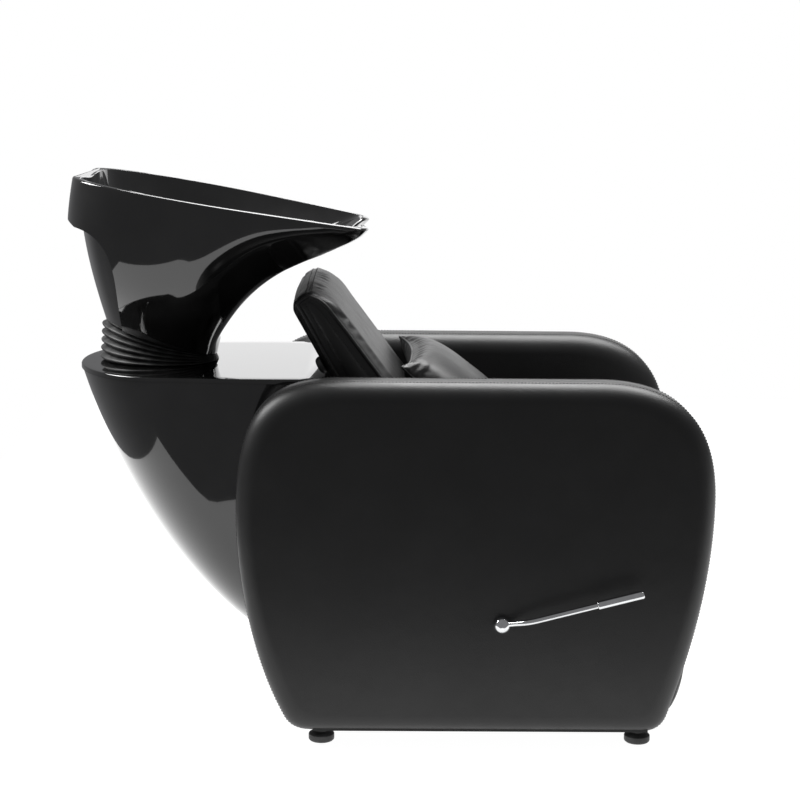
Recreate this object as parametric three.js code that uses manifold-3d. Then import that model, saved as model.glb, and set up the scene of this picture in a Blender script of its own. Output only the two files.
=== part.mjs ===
// Shampoo backwash unit: an upholstered armchair with a lifting leg-rest, joined to a
// gloss-black pedestal that carries a tilting wash basin.
// Millimetres. +Z up, floor at Z = 0, +X towards the client's feet, -Y is the lever side.
// Needs the npm packages three and manifold-3d.
import * as THREE from 'three';
import { mergeVertices } from 'three/addons/utils/BufferGeometryUtils.js';
import Module from 'manifold-3d';

const wasm = await Module();
wasm.setup();

// ---------------------------------------------------------------- driving dimensions

const GAP = 0.3;                       // left between touching pieces
const SIDES = { near: -1, far: 1 };    // the two mirrored sides of the chair

const ARM = { inner: 248, thick: 110, edge: 34, skin: 16, bottom: 28, wall: 26 };
ARM.mid = ARM.inner + ARM.thick / 2;
ARM.outer = ARM.inner + ARM.thick;
const FOOT = { radius: 23, dome: 16, stem: 12, stud: 4, x: { rear: -108, front: 456 } };

const SEAT = { top: 465, board: 16, boardTop: 398, front: 560, boardFront: 545, halfWidth: 242, nose: 26 };
SEAT.boardBottom = SEAT.boardTop - SEAT.board;
const BACK = { halfWidth: 222, edge: 16, foot: 330, board: 15, boardTop: 720, boardInset: 25 };
const PILLOW = { top: [26, 659], foot: [206, 484], halfWidth: 200, front: 66, back: 40, rim: 3 };
Object.assign(PILLOW, { bow: 16, sag: 0.25 });

const LEG = { hinge: [552, 372], bottom: 22, top: 376, shoulder: 362, back: 490, front: 555 };
Object.assign(LEG, { halfWidth: 235, board: 14 });
const LEVER = { x: 207, z: 232, rise: 14.7, length: 250, out: 390, shaft: 10, rod: 5 };
Object.assign(LEVER, { grip: 82, gripRadius: 7.5 });
const CRANK = { length: 113.2, start: 215, pin: 5, boss: 18, tip: 13 };
const LINK = { eye: 17, tail: 12, slot: 11, reach: [-92, -80] };
const PLANE = { crank: 171, link: 179, bracket: 192, hinge: 199, plate: 6 };

const DECK = { top: 640, thick: 8, halfWidth: 227, flare: 13, nose: 170, hole: 78 };
const HULL = { wall: 5, bottom: 105, front: -105, foot: -205 };
const STAND = { plateTop: 611, plate: 8, ring: 70, bore: 38, spread: 53, wide: 30 };
const TILT = { x: -414, z: 672, pin: 5, eye: 14, lean: 9.65, collarLean: 17, collarShift: -8 };
const YOKE = { ear: 61, earThick: 6, plate: 8, half: 18 };
const BOWL = { rim: 288, collar: 110, throat: 93, floor: 70, floorThick: 12, notch: 36, lip: 12, backDip: 7 };
const DRAIN = { tail: 22, bore: 17, flange: 34, lip: 3, foot: 22 };
const BELLOWS = { base: 111, top: 106, inner: 86, ribs: 5, depth: 8 };
const PIPE = { outer: 20, inner: 17, cuff: 23.6 };

const rad = THREE.MathUtils.degToRad;
const { lerp, smoothstep } = THREE.MathUtils;

// ---------------------------------------------------------------- materials

const finish = (color, roughness, metalness = 0) =>
  () => new THREE.MeshStandardMaterial({ color, roughness, metalness });
const leather = finish(0x1c1c1c, 0.5);
const glossBlack = finish(0x0c0c0d, 0.06);
const rubber = finish(0x131313, 0.75);
const chrome = finish(0xd8d8da, 0.12, 1);
const steel = finish(0x2b2d30, 0.45, 0.6);
const zinc = finish(0xa9abae, 0.35, 0.9);
const plywood = finish(0xb58a56, 0.7);
const plastic = finish(0x6b6d70, 0.5);

// ---------------------------------------------------------------- solids and booleans

function toSolid(geometry) {
  const bare = geometry.clone();
  bare.deleteAttribute('normal');
  bare.deleteAttribute('uv');
  const merged = mergeVertices(bare, 1e-4);
  return new wasm.Manifold(new wasm.Mesh({
    numProp: 3,
    vertProperties: new Float32Array(merged.attributes.position.array),
    triVerts: new Uint32Array(merged.index.array),
  }));
}

function toGeometry(solid) {
  const mesh = solid.getMesh();
  const geometry = new THREE.BufferGeometry();
  geometry.setAttribute('position', new THREE.BufferAttribute(mesh.vertProperties, 3));
  geometry.setIndex(new THREE.BufferAttribute(mesh.triVerts, 1));
  geometry.computeVertexNormals();
  return geometry;
}

const cut = (geometry, ...tools) =>
  toGeometry(tools.reduce((solid, tool) => solid.subtract(toSolid(tool)), toSolid(geometry)));
const join = (geometry, ...others) =>
  toGeometry(others.reduce((solid, other) => solid.add(toSolid(other)), toSolid(geometry)));

// A box given by its lowest and highest corners.
function block([x0, y0, z0], [x1, y1, z1]) {
  return new THREE.BoxGeometry(x1 - x0, y1 - y0, z1 - z0)
    .translate((x0 + x1) / 2, (y0 + y1) / 2, (z0 + z1) / 2);
}

// A rod along Y, from y0 to y1, at (x, z).
function rodY(radius, [x, z], y0, y1, sides = 20) {
  return new THREE.CylinderGeometry(radius, radius, Math.abs(y1 - y0), sides)
    .translate(x, (y0 + y1) / 2, z);
}

// A rod along Z, from z0 to z1, at (x, y).
function rodZ(radius, [x, y], z0, z1, sides = 24, topRadius = radius) {
  return new THREE.CylinderGeometry(topRadius, radius, z1 - z0, sides)
    .rotateX(Math.PI / 2)
    .translate(x, y, (z0 + z1) / 2);
}

// A body turned about Z from [radius, z] points that start and end on the axis.
function turned(points, sides = 24) {
  const profile = points.map(([r, z]) => new THREE.Vector2(r, z));
  return new THREE.LatheGeometry(profile, sides).rotateX(Math.PI / 2);
}

// A plate whose outline lies in XZ, centred on the plane y, with optionally rounded edges.
function plateXZ(outline, y, thickness, edge = 0, curveSegments = 6) {
  const options = { depth: thickness - 2 * edge, curveSegments, bevelEnabled: edge > 0 };
  if (edge > 0) {
    Object.assign(options, { bevelSize: edge, bevelOffset: -edge, bevelThickness: edge, bevelSegments: 4 });
  }
  return new THREE.ExtrudeGeometry(outline, options)
    .translate(0, 0, -options.depth / 2)
    .rotateX(Math.PI / 2)
    .translate(0, y, 0);
}

const polygon = (points) => new THREE.Shape(points.map(([x, z]) => new THREE.Vector2(x, z)));

// A hollow body turned about Z from [radius, z] points; the profile is closed on itself.
function turnedHollow(points, sides = 24) {
  const profile = [...points, points[0]].map(([r, z]) => new THREE.Vector2(r, z));
  return new THREE.LatheGeometry(profile, sides).rotateX(Math.PI / 2);
}

const tube = (outer, inner, low, high) =>
  turnedHollow([[inner, low], [outer, low], [outer, high], [inner, high]]);

function roundHole(center, radius) {
  const hole = new THREE.Path();
  hole.absarc(center.x, center.y, radius, 0, 2 * Math.PI, true);
  return hole;
}

function enclosedVolume(points, indices) {
  let volume = 0;
  for (let i = 0; i < indices.length; i += 3) {
    const [a, b, c] = indices.slice(i, i + 3).map((k) => points[k]);
    volume += a.dot(b.clone().cross(c)) / 6;
  }
  return volume;
}

// Skin over rings of equal length: end caps, or closed on itself when looped.
function loft(rings, looped = false) {
  const count = rings[0].length;
  const indices = [];
  const bands = looped ? rings.length : rings.length - 1;
  for (let i = 0; i < bands; i += 1) {
    const lower = i * count;
    const upper = ((i + 1) % rings.length) * count;
    for (let j = 0; j < count; j += 1) {
      const next = (j + 1) % count;
      indices.push(lower + j, lower + next, upper + next, lower + j, upper + next, upper + j);
    }
  }
  if (!looped) {
    const capAt = (ring, offset, flip) => {
      const flat = ring.map((p) => new THREE.Vector2(p.x, p.y));
      for (const [a, b, c] of THREE.ShapeUtils.triangulateShape(flat, [])) {
        indices.push(...(flip ? [c, b, a] : [a, b, c]).map((k) => k + offset));
      }
    };
    capAt(rings[0], 0, true);
    capAt(rings.at(-1), (rings.length - 1) * count, false);
  }
  const points = rings.flat();
  if (enclosedVolume(points, indices) < 0) indices.reverse();
  const geometry = new THREE.BufferGeometry().setFromPoints(points);
  geometry.setIndex(indices);
  return geometry;
}

const unit = new THREE.Group();

function add(parent, name, geometry, material) {
  const mesh = new THREE.Mesh(geometry, material());
  mesh.name = name;
  parent.add(mesh);
  return mesh;
}

function forEachSide(build) {
  for (const [side, sign] of Object.entries(SIDES)) build(side, sign);
}

// ---------------------------------------------------------------- armrests

// Side view of an armrest: upright back, leaning front, large round shoulders.
function armOutline() {
  const shape = new THREE.Shape();
  shape.moveTo(-128, ARM.bottom);
  shape.lineTo(462, ARM.bottom);
  shape.quadraticCurveTo(492, ARM.bottom, 503, 55);
  shape.bezierCurveTo(536, 150, 577, 290, 577, 443);
  shape.bezierCurveTo(577, 585, 510, 652, 373, 652);
  shape.lineTo(-80, 652);
  shape.bezierCurveTo(-210, 652, -257, 590, -257, 420);
  shape.bezierCurveTo(-257, 300, -228, 150, -171, 48);
  shape.quadraticCurveTo(-158, ARM.bottom, -128, ARM.bottom);
  return shape;
}

// The armrest outline drawn in by a distance, as a scaled copy about its middle.
function insetOutline(distance, divisions = 6) {
  const points = armOutline().getPoints(divisions).slice(0, -1);
  const box = new THREE.Box2().setFromPoints(points);
  const middle = box.getCenter(new THREE.Vector2());
  const size = box.getSize(new THREE.Vector2());
  const scale = size.clone().subScalar(2 * distance).divide(size);
  return new THREE.Shape(points.map((point) => point.sub(middle).multiply(scale).add(middle)));
}

function buildArm(side, sign) {
  const y = sign * ARM.mid;
  const pocketThick = ARM.thick - 2 * ARM.skin;
  const mouth = { x0: -122, x1: 470, top: ARM.bottom + 50 };
  const pocket = join(
    plateXZ(insetOutline(ARM.skin), y, pocketThick),
    block([mouth.x0, y - pocketThick / 2, -10], [mouth.x1, y + pocketThick / 2, mouth.top]),
  );
  const tools = [pocket];
  if (side === 'near') {
    tools.push(rodY(LEVER.shaft + 1, [LEVER.x, LEVER.z], -ARM.outer - 10, -ARM.inner + 10));
  }
  add(unit, `arm_cover_${side}`, cut(plateXZ(armOutline(), y, ARM.thick, ARM.edge), ...tools), leather);

  const frameThick = pocketThick - 2 * GAP;
  const frame = cut(
    plateXZ(insetOutline(ARM.skin + GAP), y, frameThick),
    plateXZ(insetOutline(ARM.skin + ARM.wall, 4), y, frameThick + 10),
  );
  add(unit, `arm_frame_${side}`, frame, plywood);

  const boardTop = ARM.bottom + ARM.skin;
  const half = pocketThick / 2 - GAP;
  const board = block([mouth.x0 + GAP, y - half, ARM.bottom + 2], [mouth.x1 - GAP, y + half, boardTop]);
  const hole = (x) => rodZ(FOOT.stud + GAP, [x, y], 0, 60, 12);
  add(unit, `arm_base_board_${side}`, cut(board, ...Object.values(FOOT.x).map(hole)), plywood);
}

// Mushroom glides on threaded studs, two under each armrest.
function buildFeet(side, sign) {
  const studTop = ARM.bottom + ARM.skin - 1;
  const glide = [
    [0, 0], [FOOT.radius - 3, 0], [FOOT.radius, 3], [FOOT.radius, FOOT.dome - 3],
    [FOOT.radius - 5, FOOT.dome], [FOOT.stem, FOOT.dome + 2], [FOOT.stem, ARM.bottom - GAP],
    [FOOT.stud, ARM.bottom - GAP], [FOOT.stud, studTop], [0, studTop],
  ];
  for (const [end, x] of Object.entries(FOOT.x)) {
    const foot = add(unit, `foot_${side}_${end}`, turned(glide, 14), rubber);
    foot.position.set(x, sign * ARM.mid, 0);
  }
}

// ---------------------------------------------------------------- steel chassis and seat

const TUBE = { cross: 40, wide: 30, low: 40, high: 72, rear: -90, front: 430, spread: 75 };
TUBE.rearFace = TUBE.rear - TUBE.cross / 2;
const RAIL = { inner: 236, bottom: 340, back: 40, front: 530 };
const SEAT_CLEARANCE = 3;              // between the seat and the face of the backrest

// A box between two distances from the middle plane, on one side of it.
function sideBlock(sign, inner, outer, [x0, z0], [x1, z1]) {
  const [low, high] = [sign * inner, sign * outer].sort((a, b) => a - b);
  return block([x0, low, z0], [x1, high, z1]);
}

function buildBaseFrame() {
  const reach = ARM.inner - 1;
  const { cross, wide, low, high } = TUBE;
  const crossTube = (x) => block([x - cross / 2, -reach, low], [x + cross / 2, reach, high]);
  const longTube = (y) => block([TUBE.rear, y - wide / 2, low], [TUBE.front, y + wide / 2, high]);
  const tubes = [crossTube(TUBE.front), longTube(-TUBE.spread), longTube(TUBE.spread)];
  add(unit, 'base_frame', join(crossTube(TUBE.rear), ...tubes), steel);
}

function buildSeat() {
  forEachSide((side, sign) => {
    const rail = sideBlock(sign, RAIL.inner, ARM.inner - 1,
      [RAIL.back, RAIL.bottom], [RAIL.front, SEAT.boardBottom - GAP]);
    add(unit, `seat_rail_${side}`, rail, plywood);
  });

  const boardBack = backFaceX(SEAT.boardBottom, 'front') + SEAT_CLEARANCE;
  const board = block(
    [boardBack, -SEAT.halfWidth, SEAT.boardBottom],
    [SEAT.boardFront, SEAT.halfWidth, SEAT.boardTop],
  );
  add(unit, 'seat_board', board, plywood);

  const { front, top, nose } = SEAT;
  const bottom = SEAT.boardTop + GAP;
  const hem = SEAT.boardBottom + 2;
  const cushion = new THREE.Shape();
  cushion.moveTo(backFaceX(bottom, 'front') + SEAT_CLEARANCE, bottom);
  cushion.lineTo(SEAT.boardFront + GAP, bottom);
  cushion.lineTo(SEAT.boardFront + GAP, hem);
  cushion.lineTo(front - 3, hem);
  cushion.quadraticCurveTo(front, hem, front, bottom);
  cushion.lineTo(front, top - nose);
  cushion.quadraticCurveTo(front, top, front - nose, top);
  cushion.lineTo(backFaceX(top, 'front') + SEAT_CLEARANCE, top);
  add(unit, 'seat_cushion', plateXZ(cushion, 0, 2 * SEAT.halfWidth, 0, 4), leather);
}

// ---------------------------------------------------------------- backrest

const BACK_FACE = { front: { x: -6, z: 662, run: 0.75 }, rear: { x: -99, z: 643, run: 0.553 } };
const BRACKET = { x0: 95, x1: 215, low: 270, high: 322, thick: 4 };
const BUMPER = { y: 186, z: 661, radius: 16, height: 12 };

// X of the backrest's front or rear face at a height.
function backFaceX(z, face) {
  const line = BACK_FACE[face];
  return line.x + (line.z - z) * line.run;
}

// Flat faces that meet in a curved front shoulder, a seamed crown and a sharper rear edge.
function backOutline() {
  const shoulder = 750;
  const crown = { x: -138, z: 803 };
  const rearEdge = 774;
  const shape = new THREE.Shape();
  shape.moveTo(backFaceX(BACK.foot, 'front'), BACK.foot);
  shape.lineTo(backFaceX(shoulder, 'front'), shoulder);
  shape.quadraticCurveTo(-106, 796, crown.x, crown.z);
  shape.quadraticCurveTo(-155, 793, backFaceX(rearEdge, 'rear'), rearEdge);
  shape.lineTo(backFaceX(BACK.foot, 'rear'), BACK.foot);
  return shape;
}

// The plywood sits in a slot of the cushion, along the middle of its thickness.
function boardOutline(clearance, lowZ, highZ) {
  const half = BACK.board / 2 + clearance;
  const middle = (z) => (backFaceX(z, 'front') + backFaceX(z, 'rear')) / 2;
  const rise = highZ + clearance;
  return polygon([
    [middle(lowZ) + half, lowZ],
    [middle(rise) + half, rise],
    [middle(rise) - half, rise],
    [middle(lowZ) - half, lowZ],
  ]);
}

function buildBackrest() {
  const boardHalf = BACK.halfWidth - BACK.boardInset;
  const slot = plateXZ(boardOutline(GAP, BACK.foot - 20, BACK.boardTop), 0, 2 * (boardHalf + GAP));
  const padding = plateXZ(backOutline(), 0, 2 * BACK.halfWidth, BACK.edge, 4);
  add(unit, 'backrest_cushion', cut(padding, slot), leather);
  const board = plateXZ(boardOutline(0, BRACKET.low, BACK.boardTop), 0, 2 * boardHalf);
  add(unit, 'backrest_board', board, plywood);

  forEachSide((side, sign) => {
    const { x0, x1, low, high, thick } = BRACKET;
    const face = boardHalf + GAP;
    const upright = sideBlock(sign, face, face + thick, [x0, low], [x1, high]);
    const flange = sideBlock(sign, face, ARM.inner - 1, [x0, low], [x1, low + thick]);
    add(unit, `backrest_bracket_${side}`, join(upright, flange), steel);
  });
}

// Rubber domes on the rear face that keep the backrest off the deck.
function buildBumpers() {
  const { radius, height } = BUMPER;
  const lean = Math.atan(BACK_FACE.rear.run);
  const rim = radius * 0.85;
  const dome = [
    [0, 0], [radius, 0], [radius, height / 3], [rim, height * 0.8], [radius / 2, height], [0, height],
  ];
  forEachSide((side, sign) => {
    const bumper = add(unit, `backrest_bumper_${side}`, turned(dome, 18), rubber);
    bumper.rotation.y = -(Math.PI / 2 + lean);
    bumper.position.set(backFaceX(BUMPER.z, 'rear'), sign * BUMPER.y, BUMPER.z);
    bumper.translateZ(GAP);
  });
}

// ---------------------------------------------------------------- lumbar pillow

// Knife-edged cushion leaning on the backrest: full in the middle, thin along its rim, its
// ends bowed back and its filling sunk a little towards the foot.
function buildPillow() {
  const top = new THREE.Vector2(...PILLOW.top);
  const down = new THREE.Vector2(...PILLOW.foot).sub(top);
  const normal = new THREE.Vector2(-down.y, down.x).normalize();
  const steps = 10;
  const section = (a) => {
    const side = (face, direction) => Array.from({ length: steps + 1 }, (_, i) => {
      const b = direction * (1 - (2 * i) / steps);
      const full = ((1 - a ** 4) * (1 - b ** 4)) ** 0.6 * (0.8 + PILLOW.sag * b);
      const swell = PILLOW.rim + full * (face > 0 ? PILLOW.front : PILLOW.back);
      const lift = face * swell + PILLOW.bow * (1 - a ** 2);
      const point = top.clone().addScaledVector(down, (b + 1) / 2).addScaledVector(normal, lift);
      return new THREE.Vector3(point.x, point.y, a * PILLOW.halfWidth);
    });
    return [...side(1, 1), ...side(-1, -1)];
  };
  const stations = [-1, -0.93, -0.8, -0.55, -0.25, 0, 0.25, 0.55, 0.8, 0.93, 1];
  add(unit, 'lumbar_pillow', loft(stations.map(section)).rotateX(Math.PI / 2), leather);
}

// ---------------------------------------------------------------- leg-rest and its linkage

const hingePoint = new THREE.Vector2(...LEG.hinge);
const eyePoint = hingePoint.clone().add(new THREE.Vector2(...LINK.reach));
const crankPoint = new THREE.Vector2(LEVER.x, LEVER.z).add(
  new THREE.Vector2(Math.cos(rad(CRANK.start)), Math.sin(rad(CRANK.start))).multiplyScalar(CRANK.length),
);

// A flat bar with round ends between two points of XZ.
function barOutline(from, to, fromRadius, toRadius) {
  const along = Math.atan2(to.y - from.y, to.x - from.x);
  const quarter = Math.PI / 2;
  const shape = new THREE.Shape();
  shape.absarc(to.x, to.y, toRadius, along - quarter, along + quarter);
  shape.absarc(from.x, from.y, fromRadius, along + quarter, along + 3 * quarter);
  return shape;
}

function buildLegrest() {
  const { back, front, bottom, top, shoulder, board, halfWidth } = LEG;
  const boardPlate = block(
    [back, 20 - halfWidth, bottom + 35],
    [back + board, halfWidth - 20, shoulder - 10],
  );
  add(unit, 'legrest_board', boardPlate, plywood);

  const pad = new THREE.Shape();
  pad.moveTo(back, top);
  pad.lineTo(back, bottom + 60);
  pad.bezierCurveTo(back, bottom + 20, back + 12, bottom, back + 30, bottom);
  pad.bezierCurveTo(front - 22, bottom, front - 8, bottom + 60, front, bottom + 130);
  pad.lineTo(front, top - 14);
  pad.quadraticCurveTo(front, top, front - 14, top);
  const recess = block(
    [back - 5, 20 - halfWidth - GAP, bottom + 35 - GAP],
    [back + board + GAP, halfWidth - 20 + GAP, shoulder - 10 + GAP],
  );
  const hingeSlots = Object.values(SIDES).map((sign) =>
    sideBlock(sign, PLANE.bracket - 5, PLANE.hinge + 5, [back - 5, shoulder], [front + 5, top + 5]));
  const padShape = plateXZ(pad, 0, 2 * halfWidth, 0, 5);
  add(unit, 'legrest_pad', cut(padShape, recess, ...hingeSlots), leather);

  const { x: hx, y: hz } = hingePoint;
  forEachSide((side, sign) => {
    const plate = new THREE.Shape();
    plate.absarc(hx, hz, 9, -Math.PI / 2, Math.PI / 2);
    plate.lineTo(eyePoint.x - 6, hz + 9);
    plate.lineTo(eyePoint.x - 12, eyePoint.y - 12);
    plate.lineTo(back - GAP, eyePoint.y - 50);
    plate.lineTo(back - GAP, shoulder + 1);
    plate.lineTo(hx, shoulder + 1);
    plate.holes.push(roundHole(hingePoint, CRANK.pin + GAP));
    const y = sign * PLANE.bracket;
    const pinEnd = sign * (PLANE.link - PLANE.plate / 2 - 2);
    const pin = rodY(CRANK.pin, [eyePoint.x, eyePoint.y], y, pinEnd, 12);
    const bracket = join(plateXZ(plate, y, PLANE.plate), pin);
    add(unit, `legrest_bracket_${side}`, bracket, steel);

    const hanger = new THREE.Shape();
    hanger.absarc(hx, hz, 9, -Math.PI / 2, Math.PI / 2);
    hanger.lineTo(400, hz + 9);
    hanger.lineTo(400, hz - 24);
    hanger.lineTo(440, hz - 24);
    hanger.lineTo(478, hz - 8);
    const hangerPlate = plateXZ(hanger, sign * PLANE.hinge, PLANE.plate);
    const hingePin = rodY(CRANK.pin, LEG.hinge, sign * PLANE.hinge, sign * (PLANE.bracket - 5), 12);
    add(unit, `legrest_hanger_${side}`, join(hangerPlate, hingePin), steel);
  });
}

function buildLinkage() {
  const shaftCentre = new THREE.Vector2(LEVER.x, LEVER.z);
  const shaftEnds = [-(ARM.outer + 4), RAIL.inner + 8];
  const shaft = rodY(LEVER.shaft, [LEVER.x, LEVER.z], ...shaftEnds, 16);
  add(unit, 'drive_shaft', shaft, zinc);

  forEachSide((side, sign) => {
    const crank = barOutline(shaftCentre, crankPoint, CRANK.boss, CRANK.tip);
    crank.holes.push(roundHole(shaftCentre, LEVER.shaft + 2 * GAP));
    const pinEnd = sign * (PLANE.link + PLANE.plate / 2 + 2);
    const pin = rodY(CRANK.pin, [crankPoint.x, crankPoint.y], sign * PLANE.crank, pinEnd, 12);
    add(unit, `crank_${side}`, join(plateXZ(crank, sign * PLANE.crank, PLANE.plate), pin), zinc);

    const link = barOutline(crankPoint, eyePoint, LINK.tail, LINK.eye);
    link.holes.push(roundHole(crankPoint, CRANK.pin + GAP), roundHole(eyePoint, LINK.slot));
    add(unit, `link_${side}`, plateXZ(link, sign * PLANE.link, PLANE.plate - 1), zinc);

    const bearing = cut(
      sideBlock(sign, 224, ARM.inner - 1, [LEVER.x - 32, LEVER.z - 32], [LEVER.x + 32, LEVER.z + 32]),
      rodY(LEVER.shaft + GAP, [LEVER.x, LEVER.z], sign * 210, sign * 260, 16),
    );
    add(unit, `shaft_bearing_${side}`, bearing, plastic);
  });
}

// Chrome handle: a domed hub on the shaft, a rod that cranks outwards, and a thicker grip.
function buildLever() {
  const { x, z, rod, grip, gripRadius, out } = LEVER;
  const face = -ARM.outer;
  const escutcheon = cut(
    turned([[0, 0], [18, 0], [18, 1.5], [15, 3.5], [0, 3.5]], 24).rotateX(Math.PI / 2),
    rodY(LEVER.shaft + 1, [0, 0], -20, 20, 16),
  );
  add(unit, 'lever_escutcheon', escutcheon, chrome).position.set(x, face - GAP, z);

  const hubFace = face - 4 - GAP;
  const hubShape = (extra) => turned([
    [0, -extra], [15 + extra, -extra], [15.5 + extra, 4],
    [13 + extra, 11 + extra], [7, 16 + extra], [0, 17 + extra],
  ], 20).rotateX(Math.PI / 2).translate(0, hubFace, 0);
  add(unit, 'lever_hub', hubShape(0), chrome).position.set(x, 0, z);

  const lever = new THREE.Group();
  lever.position.set(x, 0, z);
  lever.rotation.y = -rad(LEVER.rise);
  unit.add(lever);
  const gripStart = LEVER.length - grip;
  const path = new THREE.CatmullRomCurve3([
    new THREE.Vector3(10, face - 12, 0),
    new THREE.Vector3(22, face - 20, 0),
    new THREE.Vector3(36, -out + 4, 0),
    new THREE.Vector3(58, -out, 0),
    new THREE.Vector3(gripStart - GAP, -out, 0),
  ]);
  const circle = new THREE.Shape().absarc(0, 0, rod, 0, 2 * Math.PI);
  const stem = new THREE.ExtrudeGeometry(circle, { steps: 10, curveSegments: 4, extrudePath: path });
  add(lever, 'lever_rod', cut(stem, hubShape(GAP)), chrome);
  const chamfer = 1.5;
  const gripProfile = [
    [0, 0], [gripRadius - chamfer, 0], [gripRadius, chamfer],
    [gripRadius, grip - chamfer], [gripRadius - chamfer, grip], [0, grip],
  ];
  const handle = add(lever, 'lever_grip', turned(gripProfile, 12).rotateY(Math.PI / 2), chrome);
  handle.position.set(gripStart, -out, 0);
}

// ---------------------------------------------------------------- pedestal

const KEEL = new THREE.CubicBezierCurve(
  new THREE.Vector2(-566, DECK.top),
  new THREE.Vector2(-563, 627),
  new THREE.Vector2(-457, 262),
  new THREE.Vector2(HULL.foot, HULL.bottom),
);

// One level of the boat-like hull: straight sides closed by half an ellipse at the back.
function hullRing(t, inset) {
  const keel = KEEL.getPoint(t);
  const drop = (DECK.top - keel.y) / DECK.top;
  const full = DECK.halfWidth * (1 - drop ** 2.6);
  const halfWidth = full - inset;
  const nose = DECK.nose * (full / DECK.halfWidth);
  const noseX = keel.x + nose;
  const ring = [];
  const arcSteps = 16;
  for (let i = 0; i <= arcSteps; i += 1) {
    const angle = Math.PI / 2 + (Math.PI * i) / arcSteps;
    ring.push([noseX + (nose - inset) * Math.cos(angle), halfWidth * Math.sin(angle)]);
  }
  const flare = DECK.flare * (1 - drop) ** 4;
  const front = inset > 0 ? HULL.front + 20 : HULL.front;
  const sideX = [0.45, 0.75, 1].map((k) => lerp(noseX, front, k));
  const sideY = (x) => halfWidth + flare * smoothstep(x, noseX, -200);
  sideX.forEach((x) => ring.push([x, -sideY(x)]));
  sideX.reverse().forEach((x) => ring.push([x, sideY(x)]));
  return ring.map(([x, y]) => new THREE.Vector3(x, y, keel.y));
}

function buildPedestal() {
  const levels = [1, 0.86, 0.72, 0.58, 0.45, 0.33, 0.22, 0.12, 0.05, 0];
  const outer = loft(levels.map((t) => hullRing(t, 0)));
  const inner = loft(levels.map((t) => hullRing(t, HULL.wall)));
  const rimZ = DECK.top - DECK.thick - GAP;
  const above = block([-700, -300, rimZ], [0, 300, DECK.top + 50]);
  const passage = block([-300, -72, 0], [HULL.front + 50, 72, HULL.bottom + 60]);
  add(unit, 'pedestal_shell', cut(outer, inner, above, passage), glossBlack);

  const deckOutline = new THREE.Shape(hullRing(0, 0).map((p) => new THREE.Vector2(p.x, p.y)));
  deckOutline.holes.push(roundHole({ x: TILT.x, y: 0 }, DECK.hole));
  const panel = new THREE.ExtrudeGeometry(deckOutline, {
    depth: DECK.thick, bevelEnabled: false, curveSegments: 10,
  });
  add(unit, 'deck_panel', panel, glossBlack).position.z = DECK.top - DECK.thick;
}

// Welded support inside the hull: two leaning tubes that carry a ring plate for the tilt yoke.
function buildBasinStand() {
  const foot = { x: TUBE.rearFace - GAP, z: TUBE.low };
  const head = { x: TILT.x, z: STAND.plateTop - STAND.plate };
  const lean = polygon([
    [foot.x - 40, foot.z], [foot.x, foot.z], [foot.x, foot.z + 50],
    [head.x + 52, head.z + 2], [head.x - 12, head.z + 2],
  ]);
  const legs = Object.values(SIDES).map((sign) => plateXZ(lean, sign * STAND.spread, STAND.wide));
  const ring = rodZ(STAND.ring, [TILT.x, 0], head.z, STAND.plateTop, 28);
  const tie = block([foot.x - 40, -40, foot.z], [foot.x, 40, foot.z + 30]);
  const bore = rodZ(STAND.bore, [TILT.x, 0], head.z - 20, STAND.plateTop + 5, 20);
  add(unit, 'basin_stand', cut(join(ring, ...legs, tie), bore), steel);
}

// ---------------------------------------------------------------- tilt joint

const CAVITY = { foot: 90, top: 114 };
const HANGER = { ear: 53, earThick: 5, radius: 86, plateLow: 49 };
HANGER.plateHigh = BOWL.floor - BOWL.floorThick - GAP;

function buildTiltYoke() {
  const low = STAND.plateTop + GAP;
  const axis = new THREE.Vector2(TILT.x, TILT.z);
  const plate = rodZ(STAND.ring, [TILT.x, 0], low, low + YOKE.plate, 28);
  const bore = rodZ(STAND.bore, [TILT.x, 0], low - 5, low + YOKE.plate + 5, 20);
  const ears = Object.values(SIDES).map((sign) => {
    const ear = new THREE.Shape();
    ear.moveTo(axis.x - YOKE.half, low + 2);
    ear.lineTo(axis.x + YOKE.half, low + 2);
    ear.absarc(axis.x, axis.y, TILT.eye, 0, Math.PI);
    ear.holes.push(roundHole(axis, TILT.pin + GAP));
    return plateXZ(ear, sign * YOKE.ear, YOKE.earThick);
  });
  add(unit, 'tilt_yoke', cut(join(plate, ...ears), bore), steel);

  forEachSide((side, sign) => {
    const earOuter = YOKE.ear + YOKE.earThick / 2;
    const shank = rodY(TILT.pin, [TILT.x, TILT.z], sign * (HANGER.ear - 6), sign * (earOuter + 2), 16);
    const head = rodY(9, [TILT.x, TILT.z], sign * (earOuter + GAP), sign * (earOuter + 6), 6);
    add(unit, `tilt_pin_${side}`, join(shank, head), zinc);

    const washer = new THREE.Shape().absarc(TILT.x, TILT.z, 13, 0, 2 * Math.PI);
    washer.holes.push(roundHole(axis, TILT.pin + GAP));
    const between = (HANGER.ear + HANGER.earThick / 2 + YOKE.ear - YOKE.earThick / 2) / 2;
    add(unit, `friction_washer_${side}`, plateXZ(washer, sign * between, 1.2), plastic);
  });
}

// ---------------------------------------------------------------- basin

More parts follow.
